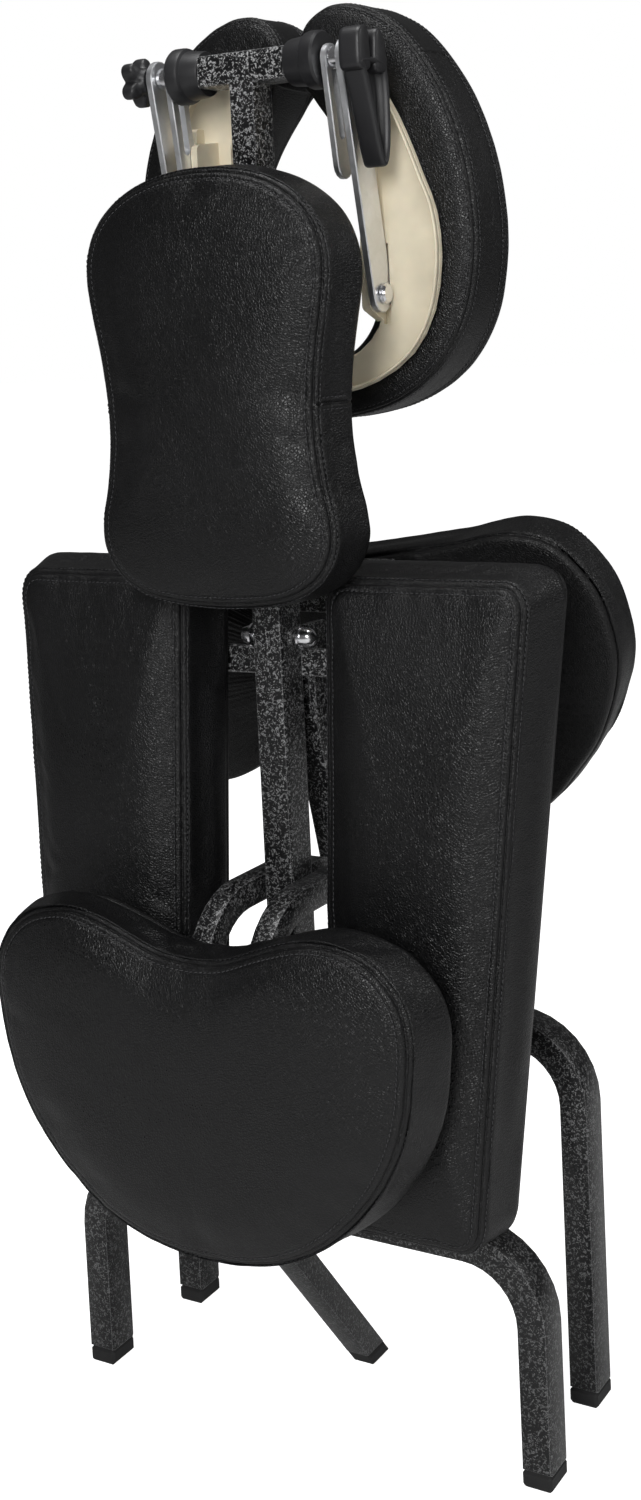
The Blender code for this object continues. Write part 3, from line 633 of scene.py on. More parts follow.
def make_pad(name, outline, depth, to_world, node, body, columns=96, per=4, centre=None,
             seam_inset=5.0, crown=5.0, seed=1, cross_seams=(), pressure=4.0, cap=6.0,
             sag=0.9, wrinkles=(), flare=None, dome=12.0):
    """A boxed cushion: flat back on its board, boxing band round the side, and a crowned face
    panel sewn to it. outline is in the pad's own plane, depth is from board to face."""
    loop = resample(ccw(outline), columns)
    n_in = inward(loop)
    mid = np.asarray(centre if centre is not None else (loop.max(0) + loop.min(0)) / 2, float)
    T = depth
    if flare:
        to_world = flared(to_world, depth, *flare)
    flat12 = loop + n_in * 15.0

    def ring(inset=None, frac=None, w=0.0):
        if inset is not None:
            xy = loop + n_in * inset
        else:
            xy = mid + (flat12 - mid) * frac
        return np.column_stack([xy, np.full(len(xy), w)])

    rows = [ring(frac=0.0, w=0.0), ring(frac=0.35), ring(frac=0.7), ring(inset=10), ring(inset=2.6, w=0.0)]
    back = 4
    rows += [ring(inset=0.7, w=2.6), ring(inset=0.2, w=T * 0.26), ring(inset=0.0, w=T * 0.5), ring(inset=0.5, w=T * 0.72), ring(inset=2.0, w=T - dome - 4.0)]
    front = len(rows)
    rows += [ring(inset=seam_inset, w=T - dome)]
    rows += [ring(inset=seam_inset + 6.0, w=T - dome * 0.70), ring(frac=0.95, w=T - dome * 0.52)]
    rows += [ring(frac=f, w=T - dome * w) for f, w in ((0.88, 0.30), (0.78, 0.10), (0.62, -0.06), (0.42, -0.14), (0.20, -0.18))]
    rows += [ring(frac=0.0, w=T - dome * -0.18)]
    P = np.array(rows)
    start = P.copy()
    caps = np.full(len(rows), float(crown))
    caps[:back + 1] = 0.0
    caps[back + 1:front] = (0.6, 1.4, 1.8, 1.4, 1.0)
    caps[front] = 0.8
    caps[front + 1:front + 3] = (1.8, 2.8)
    P = swell(start, pinned=range(0, 5), pressure=pressure, cap=caps, shrink=0.02, seam_rows=[front])
    cols = list(np.arange(columns * per) / per)
    for col in cross_seams:
        cols = [c for c in cols if abs((c - col + columns / 2) % columns - columns / 2) > 1.6]
        cols += [(col + o) % columns for o in (-1.5, -1.1, -0.8, -0.6, -0.45, -0.3, -0.2, -0.12, -0.06, 0, 0.06, 0.12, 0.2, 0.3, 0.45, 0.6, 0.8, 1.1, 1.5)]
    cols = np.array(sorted(cols))
    fine, dist = refine(
        P, [0, back, front, P.shape[0] - 1],
        [([], 6, [9, 5, 2.5, 1.0]), ([1.0, 2.5, 5, 9], 6, SEAM_BEFORE), (SEAM_AFTER, 20, [])],
        cols,
    )
    nor = grid_normals(fine)
    d_back, d_front = dist[1], dist[2]
    step = np.linalg.norm(np.diff(np.concatenate([fine[len(fine) // 2], fine[len(fine) // 2][:1]]), axis=0), axis=1)
    along = np.concatenate([[0], np.cumsum(step)])[:-1] / step.sum()
    perimeter = step.sum()
    s, y = ripple(perimeter, seed, 14, 34)
    pucker = np.interp(along, s, y)[None, :]
    s, y = ripple(perimeter, seed + 40, 60, 160)
    slow = np.interp(along, s, y)[None, :]
    push = np.zeros(fine.shape[:2])
    push -= 1.35 * near(d_front, 0, 1.0)
    push += 0.75 * near(np.abs(d_front), 3.0, 2.2)
    push -= 0.55 * near(np.abs(d_front), 6.2, 0.9)
    push += 0.35 * near(np.abs(d_front), 9.0, 3.0)
    push += 0.20 * pucker * np.exp(-np.abs(d_front) / 9.0) * (np.abs(d_front) > 0.4)
    push += 0.35 * slow * np.exp(-np.abs(d_front) / 30.0)
    push -= 1.2 * near(d_back, 0, 1.2)
    push += 0.10 * pucker * np.exp(-np.abs(d_back) / 8.0)
    inside = np.clip(dist[1] / 6.0, 0, 1)
    push += undulate(fine, 0.016, sag, seed) * inside
    push += undulate(fine, 0.045, sag * 0.35, seed + 3) * inside
    boxing = (d_back > 0) & (d_front < 0)
    for col in cross_seams:
        gap = ((cols - col + columns / 2) % columns - columns / 2) * perimeter / columns
        band = np.clip(d_back / 6, 0, 1) * np.clip(-d_front / 5, 0, 1)
        push += (-1.5 * near(gap, 0, 1.1) + 0.5 * near(np.abs(gap), 2.6, 1.6) - 0.5 * near(np.abs(gap), 5.0, 0.9))[None, :] * band
    for (u, v, du, dv, amount, width) in wrinkles:
        # A short crease through (u, v) along (du, dv), in the pad's own plane
        rel = fine[..., :2] - np.array([u, v])
        length = math.hypot(du, dv)
        t = (rel[..., 0] * du + rel[..., 1] * dv) / length
        a = (-rel[..., 0] * dv + rel[..., 1] * du) / length
        fall = np.exp(-((t / (length * 0.55)) ** 4))
        push += amount * (-near(a, 0, width) + 0.6 * near(np.abs(a), width * 2.0, width * 1.2)) * fall * (fine[..., 2] > T * 0.5)
    keep = np.ones(len(fine))
    keep[0] = 0
    keep[-1] = 0
    shaped = fine + nor * (push * keep[:, None])[..., None]
    shaped[..., 2] = np.maximum(shaped[..., 2], 0.0)
    nor = grid_normals(shaped)
    verts = to_world(flatten(shaped))
    R, A = shaped.shape[:2]
    pad = new_object(name, verts, grid_faces(R, A), VINYL, body)
    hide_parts(node)

    def lift(points):
        return to_world(points)

    def stitch_row(tag, row_at, which=2):
        # Points at a fixed distance from the seam, per column
        pts = np.empty((A, 3))
        nn = np.empty((A, 3))
        for c in range(A):
            for k in range(3):
                pts[c, k] = np.interp(row_at, dist[which][:, c], shaped[:, c, k])
                nn[c, k] = np.interp(row_at, dist[which][:, c], nor[:, c, k])
        a = lift(pts)
        b = lift(pts + nn)
        return a, b - a

    for tag, at in (("face", 6.2), ("side", -6.2)):
        a, b = stitch_row(tag, at)
        stitches(f"{name}_stitch_{tag}", a, b, 1, THREAD, body)
    for k, col in enumerate(cross_seams):
        for o in (-5.0, 5.0):
            c = (col + o * columns / perimeter) % columns
            i = int(np.argmin(np.abs((cols - c + columns / 2) % columns - columns / 2)))
            sel = [r for r in range(R) if d_back[r, i] > 8 and d_front[r, i] < -8]
            a = lift(shaped[sel, i])
            b = lift(shaped[sel, i] + nor[sel, i]) - a
            stitches(f"{name}_stitch_cross{k}{'a' if o < 0 else 'b'}", a, b, 1, THREAD, body, closed=False)
    return pad


KNEE = [(54, 214, 22), (215, 216, 26), (262, 748, 24), (54, 748, 24)]
KNEE_LEAN = 0.0855
SEAT_HALF = [(0, 207), (34, 209), (68, 217), (104, 234), (136, 259), (163, 291), (181, 323), (192, 356), (196, 386), (198, 412), (194, 437), (182, 457), (163, 473), (136, 482), (110, 483), (84, 477), (55, 467), (30, 458), (0, 455)]
CHEST_HALF = [(0, 716), (45, 719), (76, 727), (99, 743), (111, 765), (112, 789), (106, 818), (102, 851), (102, 885), (106, 919), (113, 958), (116, 988), (111, 1013), (97, 1035), (72, 1054), (40, 1065), (0, 1069)]
ARM_HALF = [(0, -206), (50, -210), (98, -228), (135, -249), (165, -256), (188, -240), (208, -216), (231, -186), (248, -151), (258, -118), (260, -90), (253, -52), (238, -25), (218, -5), (196, 3), (172, 5), (148, 1), (119, -6), (62, -15), (21, -21), (0, -21)]
AY, AZ = 84.0, 752.0
TILT = math.radians(15.0)


def facing_front(y_back):
    def go(p):
        p = np.asarray(p, float)
        return np.stack([p[..., 0], y_back - p[..., 2], p[..., 1]], -1)
    return go


def knee_place(p):
    p = np.asarray(p, float)
    y = 31.0 - p[..., 2] + (p[..., 1] - 748) * KNEE_LEAN
    return np.stack([p[..., 0], y, p[..., 1]], -1)


def arm_place(p):
    """Armrest plane: v is up the rest from its axis, w is back from its board."""
    p = np.asarray(p, float)
    dy, dz = 24.0 + p[..., 2], p[..., 1]
    c, s = math.cos(TILT), math.sin(TILT)
    return np.stack([p[..., 0], AY + dy * c - dz * s, AZ + dy * s + dz * c], -1)


def nearest_column(outline, columns, point):
    loop = resample(ccw(outline), columns)
    return float(np.argmin(np.linalg.norm(loop - np.array(point), axis=1)))


for side, sx in (("left", -1), ("right", 1)):
    outline = [(sx * x, z) for x, z in rounded(KNEE, 8)]
    make_pad("knee_cushion_" + side, outline, 56.0, knee_place, "knee_pad_" + side, "main_frame",
             columns=120, per=4, centre=(sx * 148, 484), crown=2.5, seed=3 if sx < 0 else 8, flare=(sx * 150, 1.0, 0.83, 214.0, 0.02))
make_pad("chest_cushion", smooth_loop(mirrored(CHEST_HALF), 6), 52.8, facing_front(-26.2), "chest_pad", "chest_rest",
         columns=100, per=4, centre=(0, 893), crown=2.5, seed=11, flare=(0, 1.065, 0.982),
         cross_seams=(nearest_column(smooth_loop(mirrored(CHEST_HALF), 6), 100, (103, 880)), nearest_column(smooth_loop(mirrored(CHEST_HALF), 6), 100, (-103, 880))),
         wrinkles=((86, 1000, 20, 7, 1.1, 3.0), (90, 986, 14, 9, 0.9, 2.4), (-70, 760, 16, -5, 0.5, 3.0)))
make_pad("seat_cushion", smooth_loop(mirrored(SEAT_HALF), 6), 48.0, facing_front(-99.0), "seat_pad", "seat",
         columns=120, per=4, centre=(0, 352), crown=2.5, seed=17, flare=(0, 1.07, 0.964))
make_pad("arm_cushion", smooth_loop(mirrored(ARM_HALF), 6), 53.0, arm_place, "armrest_pad", "armrest",
         columns=120, per=4, centre=(0, -96), crown=2.5, seed=23)


CHEST_CROSS = []


def board(name, outline, w_front, w_back, place, node, body, inset=3.0, margin=44.0, seed=1, pleat=1.5, calm=None, columns=150):
    """The board under a pad with the cover pulled round its edge, pleated and stapled, and a
    cloth lining over the rest."""
    loop = resample(ccw(outline), columns)
    n_in = inward(loop)
    loop = loop + n_in * inset
    mid = (loop.max(0) + loop.min(0)) / 2
    t = abs(w_back - w_front)

    def ring(i, w, frac=None):
        xy = loop + n_in * i
        if frac is not None:
            edge = loop + n_in * 12.0
            xy = mid + (edge - mid) * frac
        return np.column_stack([xy, np.full(len(xy), w)])

    sgn = 1 if w_back > w_front else -1
    rows = [ring(0, w_front, 0.0), ring(0, w_front, 0.5), ring(8, w_front), ring(1.2, w_front), ring(0.0, w_front + sgn * 1.5), ring(-0.2, w_front + sgn * t * 0.5), ring(0.2, w_back - sgn * 2.6), ring(1.2, w_back - sgn * 1.1), ring(3.2, w_back - sgn * 0.4), ring(7.5, w_back - sgn * 0.2)]
    first = len(rows) - 2
    reach = float(np.min(np.linalg.norm(loop - mid, axis=1)))
    fracs = [1 - (k / 9.0) * (margin / max(reach, margin * 1.4)) for k in range(1, 10)]
    rows += [ring(0, w_back, f) for f in fracs]
    last = len(rows) - 1
    rows += [ring(0, w_back, fracs[-1] * f) for f in (0.992, 0.98, 0.7, 0.4)]
    rows += [ring(0, w_back, 0.0)]
    P = np.array(rows)
    cols = np.arange(columns * 3) / 3.0
    fine = catmull_cols(P, cols)
    step = np.linalg.norm(np.roll(fine[first], -1, 0) - fine[first], axis=1)
    along = np.concatenate([[0], np.cumsum(step)])[:-1] / step.sum()
    s, y = ripple(step.sum(), seed, 16, 34, 6)
    fold = np.interp(along, s, y)
    ridge = np.clip(1.0 - np.abs(fold) * 1.6, 0, 1) ** 1.5
    s, y = ripple(step.sum(), seed + 9, 90, 260, 4)
    strength = np.clip(0.55 + 0.5 * np.interp(along, s, y), 0.15, 1.2)
    for r in range(first, last + 1):
        f = (r - first) / (last - first)
        lift = pleat * strength * ridge * math.sin(min(1.0, f * 1.25) * math.pi / 2) * (1.0 if f < 0.92 else 0.35)
        if calm is not None:
            lift = lift * calm(fine[r])
        fine[r, :, 2] += sgn * lift - sgn * (0.9 if f > 0.97 else 0.0)
    for r in range(last + 1, len(fine) - 1):
        fine[r, :, 2] += sgn * (0.35 if r > last + 1 else 0.0)
    R, A = fine.shape[:2]
    obj = new_object(name, place(flatten(fine)), grid_faces(R, A), VINYL_WRAP, body)
    obj.data.materials.append(LINING)
    limit = 1 + (last - 0) * A
    for p in obj.data.polygons:
        if min(p.vertices) >= limit:
            p.material_index = 1
    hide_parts(node)
    # Staples along the cloth's edge
    verts, faces = [], []
    count = int(step.sum() / 26)
    for i in range(count):
        c = int(i * A / count)
        q = fine[last - 1, c]
        if calm is not None and calm(q[None])[0] < 0.5:
            continue
        d = fine[last - 1, (c + 1) % A] - fine[last - 1, c - 1]
        d = d / np.linalg.norm(d)
        e = np.array([-d[1], d[0], 0])
        base = len(verts)
        h = sgn * 0.55
        for a in (-4.5, -4.2, 4.2, 4.5):
            for b, up in ((-0.35, 0.0), (-0.25, 1.0), (0.25, 1.0), (0.35, 0.0)):
                flat = 0.2 if abs(a) > 4.3 else 1.0
                v = q + d * a + e * b
                v[2] = q[2] + h * up * flat + sgn * 0.15
                verts.append(v)
        for a in range(3):
            for b in range(4):
                c2 = (b + 1) % 4
                k = base + a * 4
                faces.append((k + b, k + c2, k + 4 + c2, k + 4 + b))
        faces.append((base, base + 1, base + 2, base + 3))
        faces.append((base + 12, base + 15, base + 14, base + 13))
    if verts:
        new_object(name + "_staples", place(np.array(verts)), faces, CHROME, body)
    return obj


def away_from(x, v0, v1):
    """1 away from a bracket that lies over the board, 0 under it."""
    def go(p):
        inside = (np.abs(p[:, 0]) < x) & (p[:, 1] > v0) & (p[:, 1] < v1)
        return np.where(inside, 0.0, 1.0)
    return go


for side, sx in (("left", -1), ("right", 1)):
    outline = [(sx * x, z) for x, z in rounded(KNEE, 8)]
    board("knee_backing_" + side, outline, -0.4, -8.2, knee_place, "knee_board_" + side, "main_frame", seed=31 + sx, margin=34, pleat=1.0,
          calm=lambda p: np.where((np.abs(p[:, 1] - 658) < 22) | (np.abs(p[:, 1] - 300) < 22), 0.0, 1.0))
board("chest_backing", smooth_loop(mirrored(CHEST_HALF), 6), -0.4, -9.6, facing_front(-26.2), "chest_board", "chest_rest", seed=35, margin=38, pleat=1.1, calm=away_from(70, 780, 990), inset=4)
board("seat_backing", smooth_loop(mirrored(SEAT_HALF), 6), -0.4, -9.8, facing_front(-99.0), "seat_board", "seat", seed=37, margin=44, pleat=1.2, calm=away_from(50, 200, 420), inset=4)
board("arm_backing", smooth_loop(mirrored(ARM_HALF), 6), -0.4, -9.6, arm_place, "armrest_board", "armrest", seed=41, margin=62, pleat=2.6, calm=away_from(82, -90, 60), inset=3)


# ------------------------------------------------------------------ face cushion
CUSH_OUT = [(0, 858), (46, 861), (92, 874), (130, 900), (156, 940), (167, 985), (168, 1030), (160, 1080), (144, 1125), (122, 1162), (98, 1188), (70, 1203), (46, 1207), (26, 1201), (13, 1186), (9, 1166)]
CUSH_IN = [(0, 909), (38, 914), (60, 930), (71, 955), (73, 985), (69, 1020), (60, 1056), (47, 1084), (34, 1104), (22, 1122), (13, 1142)]


def face_ring():
    """Horseshoe cushion swept from one tip to the other."""
    T = 79.0

    def dense(pts):
        ext = [(-pts[1][0], pts[1][1])] + pts + [(2 * pts[-1][0] - pts[-2][0], 2 * pts[-1][1] - pts[-2][1])]
        out = []
        for i in range(1, len(ext) - 2):
            p0, p1, p2, p3 = ext[i - 1:i + 3]
            for s in range(8):
                t = s / 8
                out.append(tuple(0.5 * (2 * b + (c - a) * t + (2 * a - 5 * b + 4 * c - d) * t * t + (3 * b - a - 3 * c + d) * t ** 3) for a, b, c, d in zip(p0, p1, p2, p3)))
        out.append(pts[-1])
        return out
    half = 34
    so = resample(dense(CUSH_OUT), half, False)
    si = resample(dense(CUSH_IN), half, False)
    # Slow the inner line near the tip so that the sections turn round it
    u = np.linspace(0, 1, half)
    warp = u + 0.10 * np.sin(np.pi * u)
    si = np.stack([np.interp(warp, u, si[:, k]) for k in range(2)], 1)
    outer = np.vstack([(so * [-1, 1])[::-1][:-1], so])
    inner = np.vstack([(si * [-1, 1])[::-1][:-1], si])
    prof = [(0.20, 0.0), (0.40, 0.0), (0.60, 0.0), (0.80, 0.0), (0.915, 1.0), (0.975, 5.5), (0.998, 16), (1.0, 28), (1.004, 40), (1.004, 52), (0.996, 58), (0.985, 70), (0.90, 77), (0.70, 79), (0.5, 79), (0.32, 78.6), (0.16, 76), (0.06, 69), (0.02, 60), (0.0, 46), (0.0, 30), (0.012, 14), (0.045, 5), (0.10, 1.0)]
    seam_cols = (5, 10, 18)
    rows = []
    for o, i in zip(outer, inner):
        rows.append([(i[0] + (o[0] - i[0]) * e, i[1] + (o[1] - i[1]) * e, w) for e, w in prof])
    P = np.array(rows)
    # Rounded ends
    caps = []
    for end, nxt in ((0, 1), (-1, -2)):
        mid = P[end].mean(0)
        d = P[end].mean(0) - P[nxt].mean(0)
        d = d / np.linalg.norm(d)
        # The end face closes towards its own middle
        c = [mid + (P[end] - mid) * f + d * g for f, g in ((0.86, 2.0), (0.55, 3.6))]
        caps.append((c, np.repeat((mid + d * 4.2)[None], P.shape[1], 0)))
    P = np.concatenate([caps[0][1][None], np.array(caps[0][0])[::-1], P, np.array(caps[1][0]), caps[1][1][None]])
    mask = np.zeros(P.shape[:2], bool)
    mask[:, 0:4] = True
    start = P.copy()
    mids = P.mean(1, keepdims=True)
    start = mids + (P - mids) * 0.985
    start[:, 0:4] = P[:, 0:4]
    P = swell(start, mask, pressure=4.0, cap=5.0, shrink=0.0)
    cols = [c for c in np.arange(P.shape[1] * 4) / 4.0 if all(abs(c - k) > 0.9 for k in seam_cols)]
    for k in seam_cols:
        cols += [k + o for o in (-0.9, -0.75, -0.6, -0.5, -0.42, -0.34, -0.26, -0.18, -0.1, -0.05, 0, 0.05, 0.1, 0.18, 0.26, 0.34, 0.42, 0.5, 0.6, 0.75, 0.9)]
    cols = np.array(sorted(cols)) % P.shape[1]
    n = P.shape[0]
    # The place of the boxing's cross seam, near each upper end
    zz = P[:, 8, 1]
    cross = [int(np.argmin(np.abs(P[: n // 2, 8, 1] - 1164) + np.abs(P[: n // 2, 8, 0] + 121))), n // 2 + int(np.argmin(np.abs(P[n // 2:, 8, 1] - 1164) + np.abs(P[n // 2:, 8, 0] - 121)))]
    t = list(np.linspace(0, n - 1, (n - 1) * 4 + 1))
    for c in cross:
        t = [q for q in t if abs(q - c) > 0.7] + [c + o for o in (-0.7, -0.5, -0.38, -0.28, -0.2, -0.14, -0.08, -0.04, 0, 0.04, 0.08, 0.14, 0.2, 0.28, 0.38, 0.5, 0.7)]
    t = np.array(sorted(t))
    fine = catmull_rows(catmull_cols(P, cols), t)
    nor = grid_normals(fine)
    # Distance round the section from each seam
    seg = np.linalg.norm(np.roll(fine, -1, 1) - fine, axis=2)
    cum = np.concatenate([np.zeros((fine.shape[0], 1)), np.cumsum(seg, axis=1)], axis=1)
    total = np.maximum(cum[:, -1:], 1e-6)
    cum = cum[:, :-1]
    taper = np.clip(total / 60.0, 0.0, 1.0)
    push = np.zeros(fine.shape[:2])
    dists = []
    for k in seam_cols:
        i = int(np.argmin(np.abs(cols - k)))
        d = cum - cum[:, i:i + 1]
        d = (d + total / 2) % total - total / 2
        dists.append(d)
        push += (-1.4 * near(d, 0, 1.1) + 0.7 * near(np.abs(d), 3.0, 2.2) - 0.45 * near(np.abs(d), 5.6, 0.9)) * taper
    mid_line = fine[:, int(np.argmin(np.abs(cols - 8)))]
    run = np.concatenate([[0], np.cumsum(np.linalg.norm(np.diff(mid_line, axis=0), axis=1))])
    for c in cross:
        at = np.interp(c, t, run)
        g = (run - at)[:, None]
        band = np.clip(dists[0] / 5, 0, 1) * np.clip(-dists[1] / 5, 0, 1)
        push += (-1.4 * near(g, 0, 1.1) + 0.5 * near(np.abs(g), 2.6, 1.5)) * band
    s, y = ripple(run[-1], 5, 16, 40)
    pucker = np.interp(run / run[-1], s, y)[:, None]
    for d in dists[:2]:
        push += 0.22 * pucker * np.exp(-np.abs(d) / 9.0) * taper
    push += undulate(fine, 0.018, 0.9, 51) * taper
    push[:3] = 0
    push[-3:] = 0
    shaped = fine + np.nan_to_num(nor) * push[..., None]
    nor = np.nan_to_num(grid_normals(shaped))
    place = lambda p: np.stack([np.asarray(p)[..., 0], 79.0 + np.asarray(p)[..., 2], np.asarray(p)[..., 1]], -1)
    R, A = shaped.shape[:2]
    obj = new_object("face_ring_cushion", place(flatten(shaped)), grid_faces(R, A), VINYL, "face_cradle")
    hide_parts("face_cushion")
    for k, d in enumerate(dists):
        for tag, off in (("a", 5.6), ("b", -5.6)):
            if k == 2:
                continue
            pts, nn = [], []
            for r in range(14, R - 14):
                order = np.argsort(d[r])
                pts.append([np.interp(off, d[r][order], shaped[r, order, j]) for j in range(3)])
                nn.append([np.interp(off, d[r][order], nor[r, order, j]) for j in range(3)])
            pts, nn = np.array(pts), np.array(nn)
            a = place(pts)
            stitches(f"face_ring_stitch_{k}{tag}", a, place(pts + nn) - a, 1, THREAD, "face_cradle", closed=False)
    return obj


face_ring()


# ------------------------------------------------------------------ cradle base details
PLATE_OUT = [(0, 878), (42, 881), (78, 891), (112, 913), (133, 947), (141, 990), (138, 1028), (128, 1056), (114, 1092), (99, 1122), (80, 1146), (62, 1152)]
PLATE_IN = [(50, 1140), (50, 1108), (56, 1088), (68, 1068), (80, 1035), (86, 1000), (88, 962), (82, 936), (64, 917), (36, 906), (0, 903)]


def lip():
    """Raised rim along the outer edge of the moulded base."""
    inner = PLATE_IN + [(-x, z) for x, z in PLATE_IN[::-1]][1:]
    pts = [(-x, z) for x, z in PLATE_OUT[::-1]][:-1] + PLATE_OUT + inner
    loop = resample(ccw(smooth_loop(pts, 6)), 420)
    n_in = inward(loop)
    dense = np.vstack([np.linspace(inner[k], inner[k + 1], 24) for k in range(len(inner) - 1)])
    away = np.min(np.linalg.norm(loop[:, None] - dense[None], axis=2), axis=1) > 7.0
    first = [k for k in range(len(loop)) if away[k] and not away[k - 1]][0]
    run = []
    for k in range(len(loop)):
        at = (first + k) % len(loop)
        if not away[at]:
            break
        run.append(at)
    section = [(0.25, 68.4), (0.25, 64.4), (0.55, 63.6), (1.2, 63.3), (1.9, 63.6), (2.3, 64.4), (2.7, 67.0), (3.6, 68.05), (3.6, 68.4)]
    verts, faces = [], []
    m = len(section)
    for at in run:
        for i, y in section:
            x, z = loop[at] + n_in[at] * i
            verts.append((x, y, z))
    for a in range(len(run) - 1):
        for k in range(m):
            l = (k + 1) % m
            faces.append((a * m + k, a * m + l, (a + 1) * m + l, (a + 1) * m + k))
    faces.append(tuple(range(m))[::-1])
    faces.append(tuple((len(run) - 1) * m + k for k in range(m)))
    new_object("cradle_rim", np.array(verts, float), faces, CREAM, "face_cradle")


lip()


def loops_solid(name, loops, mat, body, smooth_angle=35):
    """Closed solid from a stack of matching loops, capped at both ends."""
    n = len(loops[0])
    verts = np.vstack(loops)
    faces = []
    for a in range(len(loops) - 1):
        for k in range(n):
            l = (k + 1) % n
            faces.append((a * n + k, a * n + l, (a + 1) * n + l, (a + 1) * n + k))
    faces.append(tuple(range(n))[::-1])
    faces.append(tuple((len(loops) - 1) * n + k for k in range(n)))
    return new_object(name, verts, faces, mat, body)


def in_yz(loop, x):
    return np.column_stack([np.full(len(loop), x), loop[:, 0], loop[:, 1]])


# Cam lever: a tapered paddle with a rolled edge and a long pocket
LEVER = [(-7.5, 1141), (-3, 1146), (14, 1147.5), (30, 1146), (36.5, 1141), (39.5, 1125), (39.8, 1100), (38.0, 1081), (34.6, 1068.5), (30, 1063), (25.0, 1064.5), (20.5, 1074), (14, 1093), (6, 1117), (-2, 1136)]
lv = resample(ccw(smooth_loop(LEVER, 6)), 150)
ln = inward(lv)
centre = lv.mean(0)
LX0, LX1 = 98.4, 118.0
body_loops = [in_yz(lv + ln * 2.6, LX0), in_yz(lv + ln * 1.0, LX0 + 0.5), in_yz(lv + ln * 0.2, LX0 + 1.8), in_yz(lv, LX0 + 4), in_yz(lv, LX1 - 4), in_yz(lv + ln * 0.3, LX1 - 1.7), in_yz(lv + ln * 1.2, LX1 - 0.5), in_yz(lv + ln * 2.4, LX1), in_yz(lv + ln * 3.6, LX1 - 0.15), in_yz(lv + ln * 4.6, LX1 - 1.2), in_yz(lv + ln * 5.2, LX1 - 4.0), in_yz(lv + ln * 5.9, LX1 - 8.5), in_yz(lv + ln * 7.4, LX1 - 9.6)]
lever = loops_solid("lever_paddle", body_loops, BLACK, "cam_lever")
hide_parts("cam_lever")

# Forked top of the lever: two prongs with the cam's slot between them
for tag, prong in (
    ("front", [(-7.0, 1138), (-8.6, 1158), (-6.5, 1166.5), (-1.0, 1170.5), (5.0, 1170.5), (8.6, 1166), (9.4, 1158), (9.4, 1138)]),
    ("back", [(19.0, 1138), (19.0, 1158), (20.0, 1166), (23.5, 1170.5), (28.5, 1170), (33.0, 1165.5), (36.5, 1154), (36.5, 1138)]),
):
    pl = resample(ccw(smooth_loop(prong, 5)), 90)
    pn = inward(pl)
    loops_solid("lever_prong_" + tag, [in_yz(pl + pn * i, x) for i, x in ((1.8, LX0 + 0.3), (0.8, LX0 + 0.7), (0.1, LX0 + 1.9), (0.0, LX0 + 4), (0.0, LX1 - 4), (0.3, LX1 - 1.9), (1.0, LX1 - 0.8), (2.2, LX1 - 0.3))], BLACK, "cam_lever")

# Five-lobed knob on the other end of the rod
TY, TZ = 19.5, 1151.0
ang = np.linspace(0, 2 * math.pi, 181)[:-1]
rad = 17.6 + 4.2 * np.cos(5 * ang) - 0.6 * np.cos(10 * ang)
star = np.column_stack([np.cos(ang) * rad, np.sin(ang) * rad])
hubr = np.column_stack([np.cos(ang) * 11.0, np.sin(ang) * 11.0])


def star_loop(x, mix, scale=1.0):
    p = (hubr * (1 - mix) + star * mix) * scale + [TY, TZ]
    return in_yz(p, x)


knob = loops_solid("star_grip", [star_loop(-98.7, 0, 0.93), star_loop(-99.2, 0, 1.0), star_loop(-102.6, 0, 1.04), star_loop(-104.4, 0.5, 0.98), star_loop(-105.6, 1, 0.95), star_loop(-107.2, 1, 0.995), star_loop(-109, 1), star_loop(-113.5, 1), star_loop(-115.6, 1, 0.985), star_loop(-117.1, 1, 0.94), star_loop(-117.9, 1, 0.86), star_loop(-118.0, 0.6, 0.85), star_loop(-117.4, 0.0, 0.86), star_loop(-116.2, 0, 0.74)], BLACK, "star_knob")
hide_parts("cradle_star_knob")

# ------------------------------------------------------------------ stage
def area(name, where, target, size, size_y, power, colour=(1, 1, 1)):
    data = bpy.data.lights.new(name, "AREA")
    data.shape = "RECTANGLE"
    data.size, data.size_y = size, size_y
    data.energy = power
    data.color = colour
    obj = bpy.data.objects.new(name, data)
    obj.location = where
    obj.rotation_euler = (Vector(target) - Vector(where)).to_track_quat("-Z", "Y").to_euler()
    bpy.context.scene.collection.objects.link(obj)
    return obj


area("key", (0.95, -2.9, 1.85), (0, 0, 0.62), 0.8, 1.5, 62)
area("side", (2.9, -1.6, 1.5), (0, 0, 0.62), 0.35, 1.6, 9)
area("rim", (2.2, 1.0, 2.2), (0, 0, 0.8), 0.7, 1.6, 14)
area("top", (0.0, -0.3, 3.2), (0, 0, 0.5), 1.2, 1.2, 36)

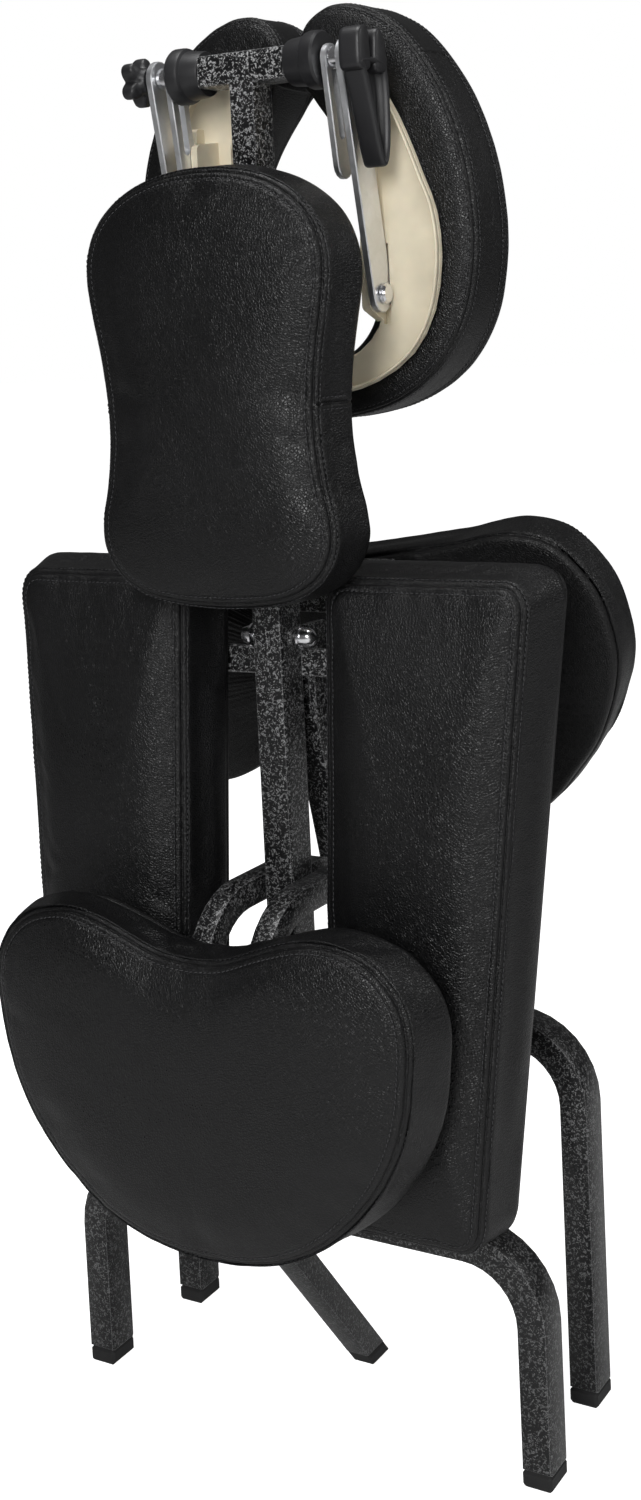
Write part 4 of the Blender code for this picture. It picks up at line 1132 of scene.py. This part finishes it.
world_data = bpy.data.worlds.new("studio")
world_data.use_nodes = True
wt = world_data.node_tree
back = wt.nodes["Background"]
path = wt.nodes.new("ShaderNodeLightPath")
seen = wt.nodes.new("ShaderNodeMapRange")
seen.inputs["To Min"].default_value = 0.10
seen.inputs["To Max"].default_value = 1.0
wt.links.new(path.outputs["Is Camera Ray"], seen.inputs["Value"])
back.inputs["Color"].default_value = (1, 1, 1, 1)
wt.links.new(seen.outputs["Result"], back.inputs["Strength"])
bpy.context.scene.world = world_data

floor_mesh = bpy.data.meshes.new("floor")
S = 30.0
floor_mesh.from_pydata([(-S, -S, -0.0005), (S, -S, -0.0005), (S, S, -0.0005), (-S, S, -0.0005)], [], [(0, 1, 2, 3)])
floor = bpy.data.objects.new("floor", floor_mesh)
bpy.context.scene.collection.objects.link(floor)
fg = Graph("floor_pale")
fg.set(Base_Color=(0.80, 0.80, 0.80, 1.0), Roughness=0.9, Specular_IOR_Level=0.1)
seen_by = fg.node("ShaderNodeLightPath").outputs["Is Camera Ray"]
fg.set(Emission_Color=(1.0, 1.0, 1.0, 1.0), Emission_Strength=fg.range(seen_by, 0.0, 1.0))
fg.bump((fg.noise(60, 2.0), 0.0005, 0.05))
floor_mesh.materials.append(fg.mat)

# Camera fitted to the feet, the mast and the crossbar
yaw, pitch, roll = math.radians(30.5703), math.radians(4.8465), math.radians(-2.6831)
fwd = Vector((-math.sin(yaw) * math.cos(pitch), math.cos(yaw) * math.cos(pitch), -math.sin(pitch)))
right = Vector((math.cos(yaw), math.sin(yaw), 0))
up = right.cross(fwd)
ax = right * math.cos(roll) + up * math.sin(roll)
ay = -right * math.sin(roll) + up * math.cos(roll)
cam_data = bpy.data.cameras.new("camera")
cam_data.sensor_fit = "HORIZONTAL"
cam_data.sensor_width = 36.0
cam_data.lens = 1896.8 * 36.0 / 641.0
cam_data.shift_x = (320.5 - 317.7) / 641.0
cam_data.shift_y = (486.0 - 750.0) / 641.0
cam_data.clip_end = 100
cam = bpy.data.objects.new("camera", cam_data)
rot = Matrix((ax, ay, -fwd)).transposed().to_4x4()
cam.matrix_world = Matrix.Translation(Vector((0.8343, -1.3158 + SHIFT * MM, 0.9399))) @ rot
bpy.context.scene.collection.objects.link(cam)
bpy.context.scene.camera = cam
bpy.context.scene.view_settings.view_transform = "Standard"
